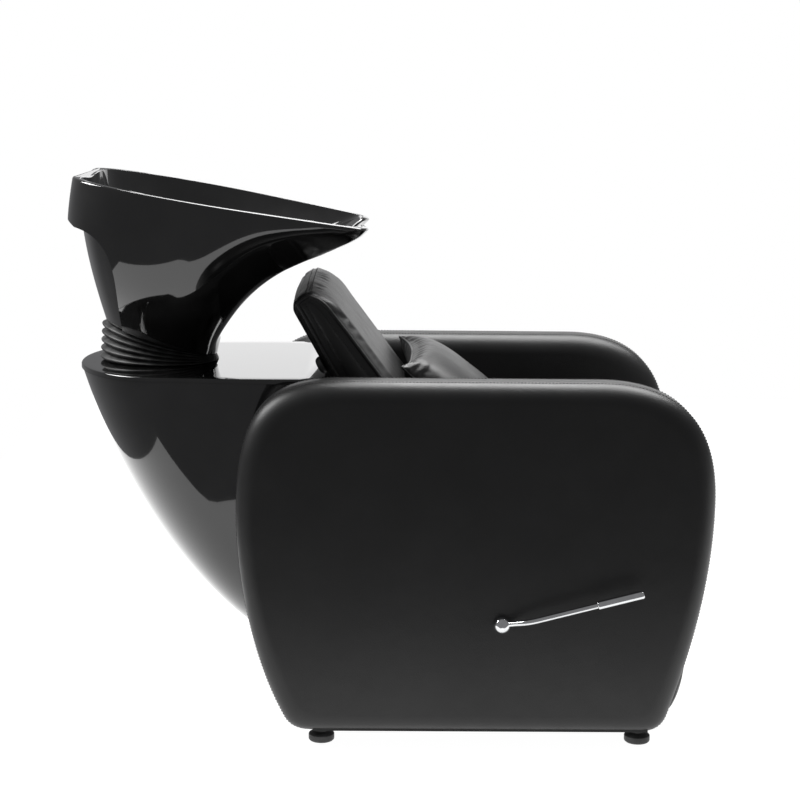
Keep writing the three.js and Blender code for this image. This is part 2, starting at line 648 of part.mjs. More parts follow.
// Half outlines seen square-on, from the neck rest round to the back: rim, well and inner wall.
const RIM = [
  [306, 0], [310, 34], [330, 74], [341, 118], [327, 158], [284, 181],
  [190, 217], [60, 255], [-45, 257], [-114, 238], [-163, 206], [-191, 158], [-196, 80],
];
const RIM_BACK = [-196, 0];
const WELL = [
  [294, 0], [299, 34], [319, 72], [328, 116], [316, 150], [276, 171],
  [184, 206], [60, 244], [-40, 246], [-105, 226], [-151, 196], [-177, 152], [-182, 76],
];
const WELL_BACK = [-182, 0];
const CORE = [
  [274, 0], [280, 40], [298, 80], [304, 120], [290, 146], [254, 168],
  [180, 196], [60, 234], [-45, 237], [-108, 221], [-156, 186], [-184, 110],
];
const CORE_BACK = [-190, 0];
const RIM_CENTRE = 40;
const RIM_POINTS = 52;

function closedOutline(half, backPoint) {
  const [front, ...rest] = half;
  const mirrored = rest.map(([u, v]) => [u, -v]).reverse();
  const points = [front, ...rest, backPoint, ...mirrored].map(([u, v]) => new THREE.Vector3(u, v, 0));
  const curve = new THREE.CatmullRomCurve3(points, true, 'centripetal');
  return curve.getPoints(RIM_POINTS).slice(0, -1);
}

// How far out the wall has come at a fraction s of its height: a trumpet sweep at the
// front, and a bulging wall at the sides and back.
const FULLNESS = { side: 1.9, cape: 3, core: 1.55, well: 1.2 };

function spread(s, angle, backFullness) {
  const n = 1.65;
  const trumpet = s ** n / (s ** n + 4.26 * (1 - s) ** n);
  const frontness = Math.max(0, Math.cos(angle)) ** 2;
  const backness = Math.min(1, Math.max(0, -1.5 * Math.cos(angle)));
  const fullness = lerp(FULLNESS.side, backFullness, backness);
  return lerp(1 - (1 - s) ** fullness, trumpet, frontness);
}

const collarDrop = Math.tan(rad(TILT.collarLean - TILT.lean));

// A ring of the basin wall, between the round collar and an outline of the rim.
function wallRing(outline, collarRadius, s, backFullness, lift = 0) {
  return outline.map((rim) => {
    const angle = Math.atan2(rim.y, rim.x - RIM_CENTRE);
    const u0 = TILT.collarShift + collarRadius * Math.cos(angle);
    const v0 = collarRadius * Math.sin(angle);
    const h = spread(s, angle, backFullness);
    const w0 = 11 - collarDrop * u0;
    return new THREE.Vector3(lerp(u0, rim.x, h), lerp(v0, rim.y, h), lerp(w0, rimHeight(rim), s) + lift);
  });
}

// The rim is flat except for a deep dip at the neck rest and a shallow one at the back.
function rimHeight({ x, y }) {
  const dip = (depth, width) => depth * Math.cos((Math.PI * y) / width) ** 2;
  if (x > 200 && Math.abs(y) < 84) return BOWL.rim - dip(BOWL.notch, 168);
  if (x < -100 && Math.abs(y) < 140) return BOWL.rim - dip(BOWL.backDip, 280);
  return BOWL.rim;
}

function drawIn(ring, distance, lift) {
  return ring.map((p) => {
    const away = new THREE.Vector2(p.x - RIM_CENTRE, p.y);
    const scale = 1 - distance / away.length();
    return new THREE.Vector3(RIM_CENTRE + away.x * scale, away.y * scale, p.z + lift);
  });
}

// Outer wall with its rolled lip, cut away behind a curved skirt edge, round a narrower core.
function basinShell() {
  const outline = closedOutline(RIM, RIM_BACK);
  const levels = [0, 0.1, 0.25, 0.4, 0.55, 0.68, 0.8, 0.9, 0.96];
  const wall = levels.map((s) => wallRing(outline, BOWL.collar, s, FULLNESS.cape));
  const rim = wallRing(outline, BOWL.collar, 1, FULLNESS.cape);
  const cape = loft([...wall, drawIn(rim, 0, -5), drawIn(rim, 3, 0)]);

  const skirt = new THREE.Shape();
  skirt.moveTo(-260, 240);
  skirt.lineTo(-172, 204);
  skirt.quadraticCurveTo(-105, 206, -85, 124);
  skirt.quadraticCurveTo(-72, 70, -64, -60);
  skirt.lineTo(-260, -60);
  const behindSkirt = plateXZ(skirt, 0, 640);

  const inner = closedOutline(CORE, CORE_BACK);
  const coreRing = (s) => wallRing(inner, BOWL.collar - 6, s, FULLNESS.core);
  const core = loft([0.01, 0.2, 0.4, 0.6, 0.8, 0.9].map(coreRing));
  return join(cut(cape, behindSkirt), core);
}

function basinWell() {
  const outline = closedOutline(WELL, WELL_BACK);
  const collar = BOWL.throat;
  const start = 0.24;
  const rings = [0, 0.05, 0.2, 0.38, 0.56, 0.74, 0.88, 1].map((k) => {
    const s = lerp(start, 1, k);
    const round = Math.sqrt(1 - (1 - Math.min(1, k / 0.2)) ** 2);
    return wallRing(outline, collar, s, FULLNESS.well, BOWL.lip).map((p) => {
      const floorW = lerp(BOWL.floor, p.z, Math.min(1, k / 0.2));
      const reach = lerp(0.55, 1, round);
      return new THREE.Vector3(lerp(0, p.x, reach), p.y * reach, Math.max(floorW, BOWL.floor));
    });
  });
  const top = rings.at(-1).map((p) => new THREE.Vector3(p.x, p.y, BOWL.rim + 30));
  return loft([...rings, top]);
}

const basinFrame = new THREE.Group();

function buildBasin() {
  const ceiling = BOWL.floor - BOWL.floorThick;
  const cavity = [[0, -60], [CAVITY.foot, -60], [CAVITY.foot, 28], [CAVITY.top, ceiling], [0, ceiling]];
  const under = turned(cavity, 28);
  const drain = rodZ(DRAIN.tail + GAP, [0, 0], 0, BOWL.floor + 30, 24);
  add(basinFrame, 'basin', cut(basinShell(), basinWell(), under, drain), glossBlack);
}

// ---------------------------------------------------------------- waste fittings

function buildDrain() {
  const { tail, bore, flange } = DRAIN;
  const top = BOWL.floor + GAP;
  const underside = BOWL.floor - BOWL.floorThick - GAP;
  const lip = top + DRAIN.lip;
  const body = turnedHollow([
    [bore, DRAIN.foot], [tail, DRAIN.foot], [tail, top], [flange, top], [flange - 2, lip], [bore, lip],
  ]);
  add(basinFrame, 'drain_body', body, chrome);
  add(basinFrame, 'drain_gasket', tube(flange, tail + GAP, underside - 3, underside), rubber);
  const nut = cut(
    rodZ(flange - 2, [0, 0], underside - 14, underside - 3 - GAP, 6),
    rodZ(tail + 2 * GAP, [0, 0], 0, BOWL.floor, 20),
  );
  add(basinFrame, 'drain_nut', nut, plastic);

  const seat = lip + GAP;
  const spigot = seat - 14;
  const dome = turned([
    [0, spigot], [6, spigot], [6, seat], [27, seat], [27, seat + 1.5], [16, seat + 4], [0, seat + 5.5],
  ], 18);
  const holeCount = 6;
  const holeCircle = 12;
  const holes = Array.from({ length: holeCount }, (_, i) => {
    const angle = (2 * Math.PI * i) / holeCount;
    return rodZ(3, [holeCircle * Math.cos(angle), holeCircle * Math.sin(angle)], seat - 5, seat + 12, 6);
  });
  add(basinFrame, 'hair_strainer', cut(dome, ...holes), chrome);
}

function buildBasinHanger() {
  const { ear, plateLow, plateHigh } = HANGER;
  const plate = rodZ(HANGER.radius, [0, 0], plateLow, plateHigh, 28);
  const bore = rodZ(DRAIN.flange + 6, [0, 0], plateLow - 5, plateHigh + 5, 20);
  const ears = Object.values(SIDES).map((sign) => {
    const shape = new THREE.Shape();
    shape.absarc(0, 0, TILT.eye, Math.PI, 2 * Math.PI);
    shape.lineTo(16, plateLow + 2);
    shape.lineTo(-16, plateLow + 2);
    shape.holes.push(roundHole({ x: 0, y: 0 }, TILT.pin + GAP));
    return plateXZ(shape, sign * ear, HANGER.earThick);
  });
  add(basinFrame, 'basin_hanger', cut(join(plate, ...ears), bore), steel);
}

// Concertina boot between the deck and the leaning collar of the basin.
function buildBellows() {
  const segments = 26;
  const collarTop = TILT.z + 9.8;
  const ring = (t, radius) => Array.from({ length: segments }, (_, i) => {
    const angle = (2 * Math.PI * i) / segments;
    const x = TILT.collarShift + radius * Math.cos(angle);
    const z = lerp(DECK.top + GAP, collarTop - Math.tan(rad(TILT.collarLean)) * x, t);
    return new THREE.Vector3(TILT.x + x, radius * Math.sin(angle), z);
  });
  const turns = 2 * BELLOWS.ribs;
  const folds = Array.from({ length: turns + 1 }, (_, i) => {
    const t = i / turns;
    const crest = lerp(BELLOWS.base, BELLOWS.top, t);
    return ring(t, i % 2 === 1 ? crest : crest - BELLOWS.depth);
  });
  const lining = [1, 0.5, 0].map((t) => ring(t, BELLOWS.inner));
  add(unit, 'bellows', loft([...folds, ...lining], true), rubber);
}

// Waste pipe from under the drain down to the outlet, and the rubber cuff over its top end.
function buildWastePipe() {
  const start = TILT.z - 42;
  const outlet = 106;
  const route = new THREE.CatmullRomCurve3([
    [TILT.x, start], [TILT.x, 590], [TILT.x + 6, 540], [-350, 430],
    [-225, 230], [-160, 146], [-90, outlet], [-20, outlet],
  ].map(([x, z]) => new THREE.Vector3(x, 0, z)), false, 'centripetal');
  const section = new THREE.Shape().absarc(0, 0, PIPE.outer, 0, 2 * Math.PI);
  section.holes.push(roundHole({ x: 0, y: 0 }, PIPE.inner));
  const pipe = new THREE.ExtrudeGeometry(section, { steps: 18, curveSegments: 5, extrudePath: route });
  add(unit, 'waste_pipe', pipe, plastic);

  const sleeve = PIPE.outer + 2 * GAP;
  const collar = { inner: 29, outer: 32, top: start + 70 };
  const cuff = turnedHollow([
    [sleeve, start - 34], [PIPE.cuff, start - 34], [PIPE.cuff, start + 6], [collar.outer, start + 30],
    [collar.outer, collar.top], [collar.inner, collar.top], [collar.inner, start + 32], [sleeve, start + 8],
  ], 20);
  add(unit, 'waste_cuff', cuff, rubber).position.x = TILT.x;
}

// ---------------------------------------------------------------- assembly

forEachSide(buildArm);
forEachSide(buildFeet);
buildBaseFrame();
buildSeat();
buildBackrest();
buildBumpers();
buildPillow();
buildLegrest();
buildLinkage();
buildLever();
buildPedestal();
buildBasinStand();
buildTiltYoke();
buildBellows();
buildWastePipe();
buildBasin();
buildDrain();
buildBasinHanger();
basinFrame.position.set(TILT.x, 0, TILT.z);
basinFrame.rotation.y = rad(TILT.lean);
unit.add(basinFrame);

// The origin is under the middle of the whole unit, on the floor.
const extent = new THREE.Box3().setFromObject(unit, true);
const middle = extent.getCenter(new THREE.Vector3());
unit.position.set(-middle.x, -middle.y, 0);

export default unit;
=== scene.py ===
# Looks for a shampoo backwash unit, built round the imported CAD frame.
# Shapes are worked out in the part's own frame, in millimetres: symmetric about Y = 0,
# +X towards the client's feet, -Y the lever side. place() turns them into the row frame.
import math

import bmesh
import bpy
import numpy as np
from mathutils import Matrix, Vector
from mathutils.bvhtree import BVHTree


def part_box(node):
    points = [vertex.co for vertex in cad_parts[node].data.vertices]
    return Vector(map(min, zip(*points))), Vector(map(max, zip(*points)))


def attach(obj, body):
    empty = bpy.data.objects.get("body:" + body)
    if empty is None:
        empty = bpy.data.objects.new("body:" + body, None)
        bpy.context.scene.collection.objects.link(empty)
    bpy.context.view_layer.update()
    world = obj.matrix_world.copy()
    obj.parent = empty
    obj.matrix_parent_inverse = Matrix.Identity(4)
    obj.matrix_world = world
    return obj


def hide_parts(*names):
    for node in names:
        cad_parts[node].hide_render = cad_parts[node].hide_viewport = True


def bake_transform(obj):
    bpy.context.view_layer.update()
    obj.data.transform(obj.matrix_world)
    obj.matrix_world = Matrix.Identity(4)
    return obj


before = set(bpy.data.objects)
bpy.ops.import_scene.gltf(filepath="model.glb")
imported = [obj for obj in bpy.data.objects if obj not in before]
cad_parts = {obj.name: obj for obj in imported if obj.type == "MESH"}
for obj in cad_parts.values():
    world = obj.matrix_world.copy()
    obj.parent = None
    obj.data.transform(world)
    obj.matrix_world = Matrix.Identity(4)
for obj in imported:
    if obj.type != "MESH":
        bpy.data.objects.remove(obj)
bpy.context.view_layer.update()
SIDES = {"near": -1, "far": 1}

# ------------------------------------------------------------------ driving dimensions

GAP = 0.3                   # between touching pieces
BASE_FRAME_MIDDLE_X = 170
ARM = {"middle": 303, "thick": 110, "roll": 36, "bottom": 28, "crown": 5, "seam": 20, "deepest": 300}
SEAT = {"top": 465, "front": 560, "half_width": 242, "bottom": 398, "nose": 26}
SEAT |= {"lip": 384, "lip_back": 545.3}
BACK = {"half_width": 222, "foot": 330, "roll": 15, "shoulder": 750}
BACK |= {"crown": (-138, 806), "rear_edge": 774, "droop": 8}
BACK_FACE = {"front": (-6, 662, 0.75), "rear": (-99, 643, 0.553)}
PILLOW = {"top": (26, 659), "foot": (206, 484), "half_width": 200, "front": 64, "back": 38}
PILLOW |= {"rim": 2, "bow": 16, "sag": 0.25}
LEG = {"back": 490, "front": 555, "bottom": 22, "top": 376, "half_width": 235}
LEVER = {"x": 207, "z": 232, "rise": 14.7, "length": 250, "out": 390, "grip": 82}
FOOT = {"radius": 23, "dome": 16, "stem": 12, "stud": 4, "x": (-108, 456)}
DECK = {"top": 640, "thick": 8, "half_width": 227, "flare": 13, "nose": 170, "hole": 78, "middle": -330}
HULL = {"bottom": 105, "front": -105, "foot": -205, "wall": 5}
KEEL = [(-566, DECK["top"]), (-563, 627), (-457, 262), (HULL["foot"], HULL["bottom"])]
TILT = {"x": -414, "z": 672, "lean": 9.65, "collar_lean": 17, "collar_shift": -8}
BOWL = {"rim": 288, "collar": 110, "throat": 93, "floor": 70}
BOWL |= {"notch": 36, "notch_width": 168, "back_dip": 7, "back_dip_width": 280}
BOWL |= {"lip": 12, "roll": 4, "floor_thick": 12}
TRUMPET = {"power": 1.65, "hold": 4.26}    # how late the front of the basin wall turns out
CAVITY = {"foot": 90, "top": 114, "step": 28}
BELLOWS = {"base": 111, "top": 106, "inner": 86, "ribs": 5, "depth": 9}
DRAIN_HOLE = 22.3
CUFF = {"bore": 20.6, "foot": 23.6, "top": 32, "thick": 3, "below": 42}
BUMPER = {"y": 186, "z": 661, "radius": 16, "height": 12}
WELT = {"radius": 3.4, "inset": 9, "band": 24, "from": 400}
HANGER_SLOT = {"y": (187, 204), "z": (362, 400)}
CAMERA = {"at": (-0.01347, -3.6017, 1.19205), "lens": 86.96}
CAMERA |= {"yaw": 0.698, "pitch": 9.893, "roll": 0.532}
FLOOR = {"x": (-1.15, 5), "y": (-0.81, 3.3)}


# ------------------------------------------------------------------ frames and numbers

def part_origin():
    low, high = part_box("base_frame")
    middle = (low + high) / 2
    return np.array([middle.x - BASE_FRAME_MIDDLE_X / 1000, middle.y, 0])


ORIGIN = part_origin()
TILT_TURN = math.radians(TILT["lean"])


def place(points):
    """Part-frame millimetres to row-frame metres."""
    return np.asarray(points, float).reshape(-1, 3) / 1000 + ORIGIN


def from_basin(points):
    """Basin-frame (u, v, w) to the part frame, both in millimetres."""
    u, v, w = np.asarray(points, float).reshape(-1, 3).T
    x = TILT["x"] + u * math.cos(TILT_TURN) + w * math.sin(TILT_TURN)
    z = TILT["z"] - u * math.sin(TILT_TURN) + w * math.cos(TILT_TURN)
    return np.stack([x, v, z], axis=1)


def smooth(x, low, high):
    t = np.clip((x - low) / (high - low), 0, 1)
    return t * t * (3 - 2 * t)


def mix(a, b, t):
    return a + (b - a) * t


# ------------------------------------------------------------------ plane curves

def bezier(points, count):
    """A Bezier curve of any degree, without its last point."""
    points = np.array(points, float)
    t = np.linspace(0, 1, count, endpoint=False)[:, None]
    while len(points) > 1:
        points = [mix(a, b, t) for a, b in zip(points[:-1], points[1:])]
    return points[0] * np.ones_like(t)


def outline(start, *segments, count=60):
    """A closed outline from Bezier segments, each a list of the points after its start."""
    parts = []
    for segment in segments:
        parts.append(bezier([start, *segment], count))
        start = segment[-1]
    return np.concatenate(parts)


def even(points, count, closed=True):
    """The same line with its points at equal distances."""
    line = np.vstack([points, points[:1]]) if closed else np.asarray(points, float)
    steps = np.linalg.norm(np.diff(line, axis=0), axis=1)
    reach = np.concatenate([[0], np.cumsum(steps)])
    at = np.linspace(0, reach[-1], count, endpoint=not closed)
    return np.stack([np.interp(at, reach, line[:, i]) for i in range(line.shape[1])], axis=1)


def closed_spline(half, back, per_span=10):
    """Centripetal Catmull-Rom loop through a half outline, its back point and the mirrored half."""
    mirrored = [(u, -v) for u, v in half[1:]][::-1]
    points = np.array([*half, back, *mirrored], float)
    count = len(points)
    loop = []
    for i in range(count):
        p0, p1, p2, p3 = (points[(i + k) % count] for k in (-1, 0, 1, 2))
        d0, d1, d2 = (math.sqrt(math.dist(a, b)) for a, b in ((p0, p1), (p1, p2), (p2, p3)))
        m1 = ((p1 - p0) / d0 - (p2 - p0) / (d0 + d1) + (p2 - p1) / d1) * d1
        m2 = ((p2 - p1) / d1 - (p3 - p1) / (d1 + d2) + (p3 - p2) / d2) * d1
        for t in np.linspace(0, 1, per_span, endpoint=False):
            cubic = (2 * p1 - 2 * p2 + m1 + m2) * t**3 + (-3 * p1 + 3 * p2 - 2 * m1 - m2) * t**2
            loop.append(cubic + m1 * t + p1)
    return np.array(loop)


# ------------------------------------------------------------------ meshes

def mesh_object(name, points, faces, material, smooth_angle=40):
    """A piece from part-frame points, shaded smooth where its faces meet under an angle."""
    mesh = bpy.data.meshes.new(name)
    mesh.from_pydata(place(points).tolist(), [], faces)
    mesh.validate()
    piece = bpy.data.objects.new(name, mesh)
    bpy.context.scene.collection.objects.link(piece)
    outward(mesh)
    if material:
        mesh.materials.append(material)
    shade(mesh, smooth_angle)
    return piece


def outward(mesh):
    work = bmesh.new()
    work.from_mesh(mesh)
    bmesh.ops.recalc_face_normals(work, faces=work.faces)
    work.to_mesh(mesh)
    work.free()


def shade(mesh, smooth_angle):
    mesh.shade_smooth()
    mesh.set_sharp_from_angle(angle=math.radians(smooth_angle))


def skin_faces(rings, count, looped=False, caps=True):
    faces = []
    bands = rings if looped else rings - 1
    for i in range(bands):
        low, high = i * count, ((i + 1) % rings) * count
        for j in range(count):
            k = (j + 1) % count
            faces.append((low + j, low + k, high + k, high + j))
    if caps and not looped:
        faces.append(tuple(range(count))[::-1])
        faces.append(tuple(range((rings - 1) * count, rings * count)))
    return faces


def skin(name, rings, material, looped=False, caps=True, smooth_angle=40):
    """A surface over rings of equal length, each an array of part-frame points."""
    rings = [np.asarray(ring, float) for ring in rings]
    faces = skin_faces(len(rings), len(rings[0]), looped, caps)
    return mesh_object(name, np.vstack(rings), faces, material, smooth_angle)


def turned_rings(profile, at=(0, 0, 0), axis="Z", sides=64):
    """Rings of (radius, height) points turned about an axis; heights on axis Y run to -Y."""
    angles = np.linspace(0, 2 * math.pi, sides, endpoint=False)
    rings = []
    for radius, height in profile:
        ring = np.stack([
            max(radius, 0.01) * np.cos(angles),
            max(radius, 0.01) * np.sin(angles),
            np.full(sides, float(height)),
        ], axis=1)
        if axis == "Y":
            ring = ring[:, [0, 2, 1]] * [1, -1, 1]
        if axis == "X":
            ring = ring[:, [2, 1, 0]]
        rings.append(ring + np.array(at))
    return rings


def turned(name, profile, material, at=(0, 0, 0), axis="Z", smooth_angle=40):
    return skin(name, turned_rings(profile, at, axis), material, smooth_angle=smooth_angle)


def rounded(profile, radius=1.5, steps=5):
    """A (radius, height) profile with its inner corners rounded by small curves."""
    points = [np.array(p, float) for p in profile]
    out = [points[0]]
    for before, corner, after in zip(points[:-2], points[1:-1], points[2:]):
        back = before - corner
        on = after - corner
        reach = min(radius, np.linalg.norm(back) / 2, np.linalg.norm(on) / 2)
        start = corner + back / np.linalg.norm(back) * reach
        end = corner + on / np.linalg.norm(on) * reach
        out.extend(bezier([start, corner, end], steps))
        out.append(end)
    out.append(points[-1])
    return out


def tube(name, line, radius, material, sides=10, closed=False):
    """A round tube along part-frame points."""
    line = np.asarray(line, float)
    if closed:
        ahead = np.roll(line, -1, axis=0) - np.roll(line, 1, axis=0)
    else:
        ahead = np.gradient(line, axis=0)
    ahead /= np.linalg.norm(ahead, axis=1)[:, None]
    side = np.cross(ahead, [0.02, 1, 0.01])
    side /= np.linalg.norm(side, axis=1)[:, None]
    over = np.cross(side, ahead)
    angles = np.linspace(0, 2 * math.pi, sides, endpoint=False)
    rings = [
        p + radius * (np.outer(np.cos(angles), s) + np.outer(np.sin(angles), o))
        for p, s, o in zip(line, side, over)
    ]
    return skin(name, rings, material, looped=closed)


def evaluate(piece):
    """Replaces the piece's mesh by what its modifiers make of it."""
    graph = bpy.context.evaluated_depsgraph_get()
    mesh = bpy.data.meshes.new_from_object(piece.evaluated_get(graph))
    old = piece.data
    piece.modifiers.clear()
    piece.data = mesh
    bpy.data.meshes.remove(old)
    mesh.name = piece.name


def boolean(piece, operation, *tools):
    """Joins or cuts with closed tools, which are used up."""
    for tool in tools:
        step = piece.modifiers.new("boolean", "BOOLEAN")
        step.operation = operation
        step.solver = "MANIFOLD"
        step.object = tool
        evaluate(piece)
        bpy.data.objects.remove(tool)


def subdivide(piece):
    step = piece.modifiers.new("subdivision", "SUBSURF")
    step.levels = step.render_levels = 1
    evaluate(piece)


def stitches(name, line, normals, material, pitch=6.0, length=3.6, radius=0.55):
    """Thread stitches along a line of part-frame points, lying just proud of the surface."""
    line = np.asarray(line, float)
    steps = np.linalg.norm(np.diff(line, axis=0), axis=1)
    reach = np.concatenate([[0], np.cumsum(steps)])
    centres = np.arange(pitch, reach[-1] - pitch, pitch)

    def at(s, values):
        return np.stack([np.interp(s, reach, values[:, i]) for i in range(3)], axis=1)

    middle, front, back = (at(centres + d, line) for d in (0, length / 2, -length / 2))
    up = at(centres, np.asarray(normals, float))
    up /= np.linalg.norm(up, axis=1)[:, None]
    across = np.cross(front - back, up)
    across /= np.linalg.norm(across, axis=1)[:, None]
    sides = 6
    angles = np.linspace(0, 2 * math.pi, sides, endpoint=False)
    points, faces = [], []
    for m, f, b, u, a in zip(middle, front, back, up, across):
        first = len(points)
        ends = [(b, 0.35, -0.3), (f, 0.35, -0.3)]
        bodies = [(mix(end, m, 0.5), 1, 0.25) for end in (b, f)]
        for centre, scale, lift in (ends[0], *bodies, ends[1]):
            for angle in angles:
                turn = a * math.cos(angle) + u * math.sin(angle)
                points.append(centre + u * lift + turn * radius * scale)
        faces.extend(tuple(first + i for i in face) for face in skin_faces(4, sides))
    return mesh_object(name, points, faces, material)


# ------------------------------------------------------------------ materials

def shader(name, color, roughness, metallic=0.0, **sockets):
    """A material with one Principled shader, which come back with a node maker and a linker."""
    material = bpy.data.materials.new(name)
    material.use_nodes = True
    tree = material.node_tree
    surface = tree.nodes["Principled BSDF"]
    surface.inputs["Base Color"].default_value = (*color, 1)
    surface.inputs["Roughness"].default_value = roughness
    surface.inputs["Metallic"].default_value = metallic
    for socket, value in sockets.items():
        surface.inputs[socket.replace("_", " ")].default_value = value

    def node(kind, **settings):
        made = tree.nodes.new(kind)
        for key, value in settings.items():
            if hasattr(made, key):
                setattr(made, key, value)
            else:
                made.inputs[key.replace("_", " ")].default_value = value
        return made

    return material, surface, node, tree.links.new


def noise(node, link, scale, detail, stretch=(1, 1, 1)):
    """Noise in metres of the row frame, so the grain has a real size."""
    where = node("ShaderNodeTexCoord")
    sized = node("ShaderNodeMapping")
    sized.inputs["Scale"].default_value = stretch
    link(where.outputs["Object"], sized.inputs["Vector"])
    made = node("ShaderNodeTexNoise", Scale=scale, Detail=detail)
    link(sized.outputs["Vector"], made.inputs["Vector"])
    return made.outputs["Fac"]


def cells(node, link, scale):
    where = node("ShaderNodeTexCoord")
    made = node("ShaderNodeTexVoronoi", Scale=scale, feature="SMOOTH_F1")
    link(where.outputs["Object"], made.inputs["Vector"])
    return made.outputs["Distance"]


def ramp(node, link, value, stops):
    """A colour ramp through (position, grey or colour) stops."""
    made = node("ShaderNodeValToRGB")
    band = made.color_ramp
    while len(band.elements) < len(stops):
        band.elements.new(0.5)
    for element, (position, tone) in zip(band.elements, stops):
        element.position = position
        element.color = (*tone, 1) if isinstance(tone, tuple) else (tone, tone, tone, 1)
    link(value, made.inputs["Fac"])
    return made.outputs["Color"]


def spread_of(node, link, value, low, high):
    made = node("ShaderNodeMapRange")
    made.inputs["To Min"].default_value = low
    made.inputs["To Max"].default_value = high
    link(value, made.inputs["Value"])
    return made.outputs["Result"]


def bump(node, link, surface, *layers):
    """Stacks (height, distance in metres, strength) layers of relief on a surface."""
    below = None
    for height, distance, strength in layers:
        made = node("ShaderNodeBump", Distance=distance, Strength=strength)
        link(height, made.inputs["Height"])
        if below is not None:
            link(below, made.inputs["Normal"])
        below = made.outputs["Normal"]
    link(below, surface.inputs["Normal"])


def leather_material(name, tone, roughness, grain=520, puckers=0.0):
    """Coated black leather: cell grain with pores, soft creases and slightly polished patches."""
    color = (tone, tone, tone * 1.02)
    material, surface, node, link = shader(name, color, roughness, Specular_IOR_Level=0.5)
    patches = noise(node, link, 9, 4)
    link(ramp(node, link, patches, [(0.3, tone * 0.82), (0.7, tone * 1.2)]), surface.inputs["Base Color"])
    wear = noise(node, link, 30, 5)
    link(spread_of(node, link, wear, roughness - 0.07, roughness + 0.07), surface.inputs["Roughness"])
    layers = [
        (cells(node, link, grain), 0.0004, 0.35),
        (noise(node, link, grain * 2.2, 2), 0.0002, 0.3),
        (noise(node, link, 38, 3), 0.0011, 0.22),
    ]
    if puckers:
        layers.append((noise(node, link, 17, 2), 0.004, puckers))
    bump(node, link, surface, *layers)
    return material


def gloss_material(name, tone=0.009, ripple=0.05):
    """Polished black moulding: clear coat over pigment, faint orange peel and haze."""
    material, surface, node, link = shader(
        name, (tone, tone, tone * 1.05), 0.07, Coat_Weight=1.0, Coat_Roughness=0.015, Coat_IOR=1.5,
        Specular_IOR_Level=0.5)
    haze = noise(node, link, 14, 4)
    link(ramp(node, link, haze, [(0.35, tone * 0.7), (0.75, tone * 1.5)]), surface.inputs["Base Color"])
    link(spread_of(node, link, noise(node, link, 60, 5), 0.04, 0.11), surface.inputs["Roughness"])
    bump(
        node, link, surface,
        (noise(node, link, 22, 1), 0.002, ripple),
        (noise(node, link, 260, 2), 0.0001, 0.05),
    )
    return material


def rubber_material(name, tone=0.04, roughness=0.5):
    material, surface, node, link = shader(name, (tone, tone, tone), roughness, Specular_IOR_Level=0.45)
    dust = noise(node, link, 45, 6)
    link(ramp(node, link, dust, [(0.4, tone * 0.8), (0.75, tone * 2.2)]), surface.inputs["Base Color"])
    grime = noise(node, link, 90, 4)
    link(spread_of(node, link, grime, roughness - 0.1, roughness + 0.12), surface.inputs["Roughness"])
    bump(node, link, surface, (noise(node, link, 700, 3), 0.0002, 0.3))
    return material


def metal_material(name, color, roughness, streak=(1, 1, 1), relief=0.03):
    material, surface, node, link = shader(name, color, roughness, 1.0)
    marks = noise(node, link, 120, 5, streak)
    dull = tuple(channel * 0.9 for channel in color)
    link(ramp(node, link, marks, [(0.3, dull), (0.7, color)]), surface.inputs["Base Color"])
    link(spread_of(node, link, marks, roughness * 0.6, roughness * 1.7), surface.inputs["Roughness"])
    bump(node, link, surface, (marks, 0.0002, relief))
    return material


def paint_material(name, tone, roughness=0.42):
    material, surface, node, link = shader(name, (tone, tone, tone * 1.05), roughness, Specular_IOR_Level=0.5)
    patches = noise(node, link, 25, 5)
    link(ramp(node, link, patches, [(0.3, tone * 0.8), (0.7, tone * 1.25)]), surface.inputs["Base Color"])
    wear = noise(node, link, 70, 3)
    link(spread_of(node, link, wear, roughness - 0.1, roughness + 0.1), surface.inputs["Roughness"])
    bump(node, link, surface, (noise(node, link, 420, 2), 0.0003, 0.25))
    return material


def plywood_material(name):
    """Birch plywood: long figure in the faces and thin plies at the edges."""
    light, dark = (0.52, 0.35, 0.18), (0.3, 0.18, 0.085)
    material, surface, node, link = shader(name, light, 0.6)
    figure = noise(node, link, 16, 6, (1, 8, 8))
    link(ramp(node, link, figure, [(0.35, dark), (0.62, light)]), surface.inputs["Base Color"])
    bump(node, link, surface, (noise(node, link, 90, 4, (1, 12, 12)), 0.0005, 0.3))
    return material


MATERIALS = {
    "leather": leather_material("black_leather", 0.012, 0.43),
    "soft_leather": leather_material("soft_black_leather", 0.016, 0.38, puckers=0.12),
    "thread": paint_material("black_thread", 0.02, 0.6),
    "gloss": gloss_material("gloss_black"),
    "rubber": rubber_material("black_rubber"),
    "chrome": metal_material("chrome", (0.9, 0.91, 0.92), 0.1),
    "steel": paint_material("painted_steel", 0.035),
    "stain": paint_material("black_stained_plywood", 0.012, 0.7),
    "zinc": metal_material("zinc_steel", (0.55, 0.56, 0.58), 0.33, (1, 6, 1), 0.15),
    "plywood": plywood_material("plywood"),
    "plastic": paint_material("grey_plastic", 0.13, 0.5),
}


def stands_for(piece, body, slot, *nodes):
    """The piece rides on a body and replaces CAD nodes; slot is not used."""
    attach(piece, body)
    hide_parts(*nodes)


def sewn(piece, body):
    """The piece rides on a body and stands for no CAD node."""
    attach(piece, body)


# ------------------------------------------------------------------ armrests

def arm_outline():
    bottom = ARM["bottom"]
    points = outline(
        (-128, bottom),
        [(462, bottom)],
        [(492, bottom), (503, 55)],
        [(536, 150), (577, 290), (577, 443)],
        [(577, 585), (510, 652), (373, 652)],
        [(-80, 652)],
        [(-210, 652), (-257, 590), (-257, 420)],
        [(-257, 300), (-228, 150), (-171, 48)],
        [(-158, bottom), (-128, bottom)],
    )
    return even(points, 320)


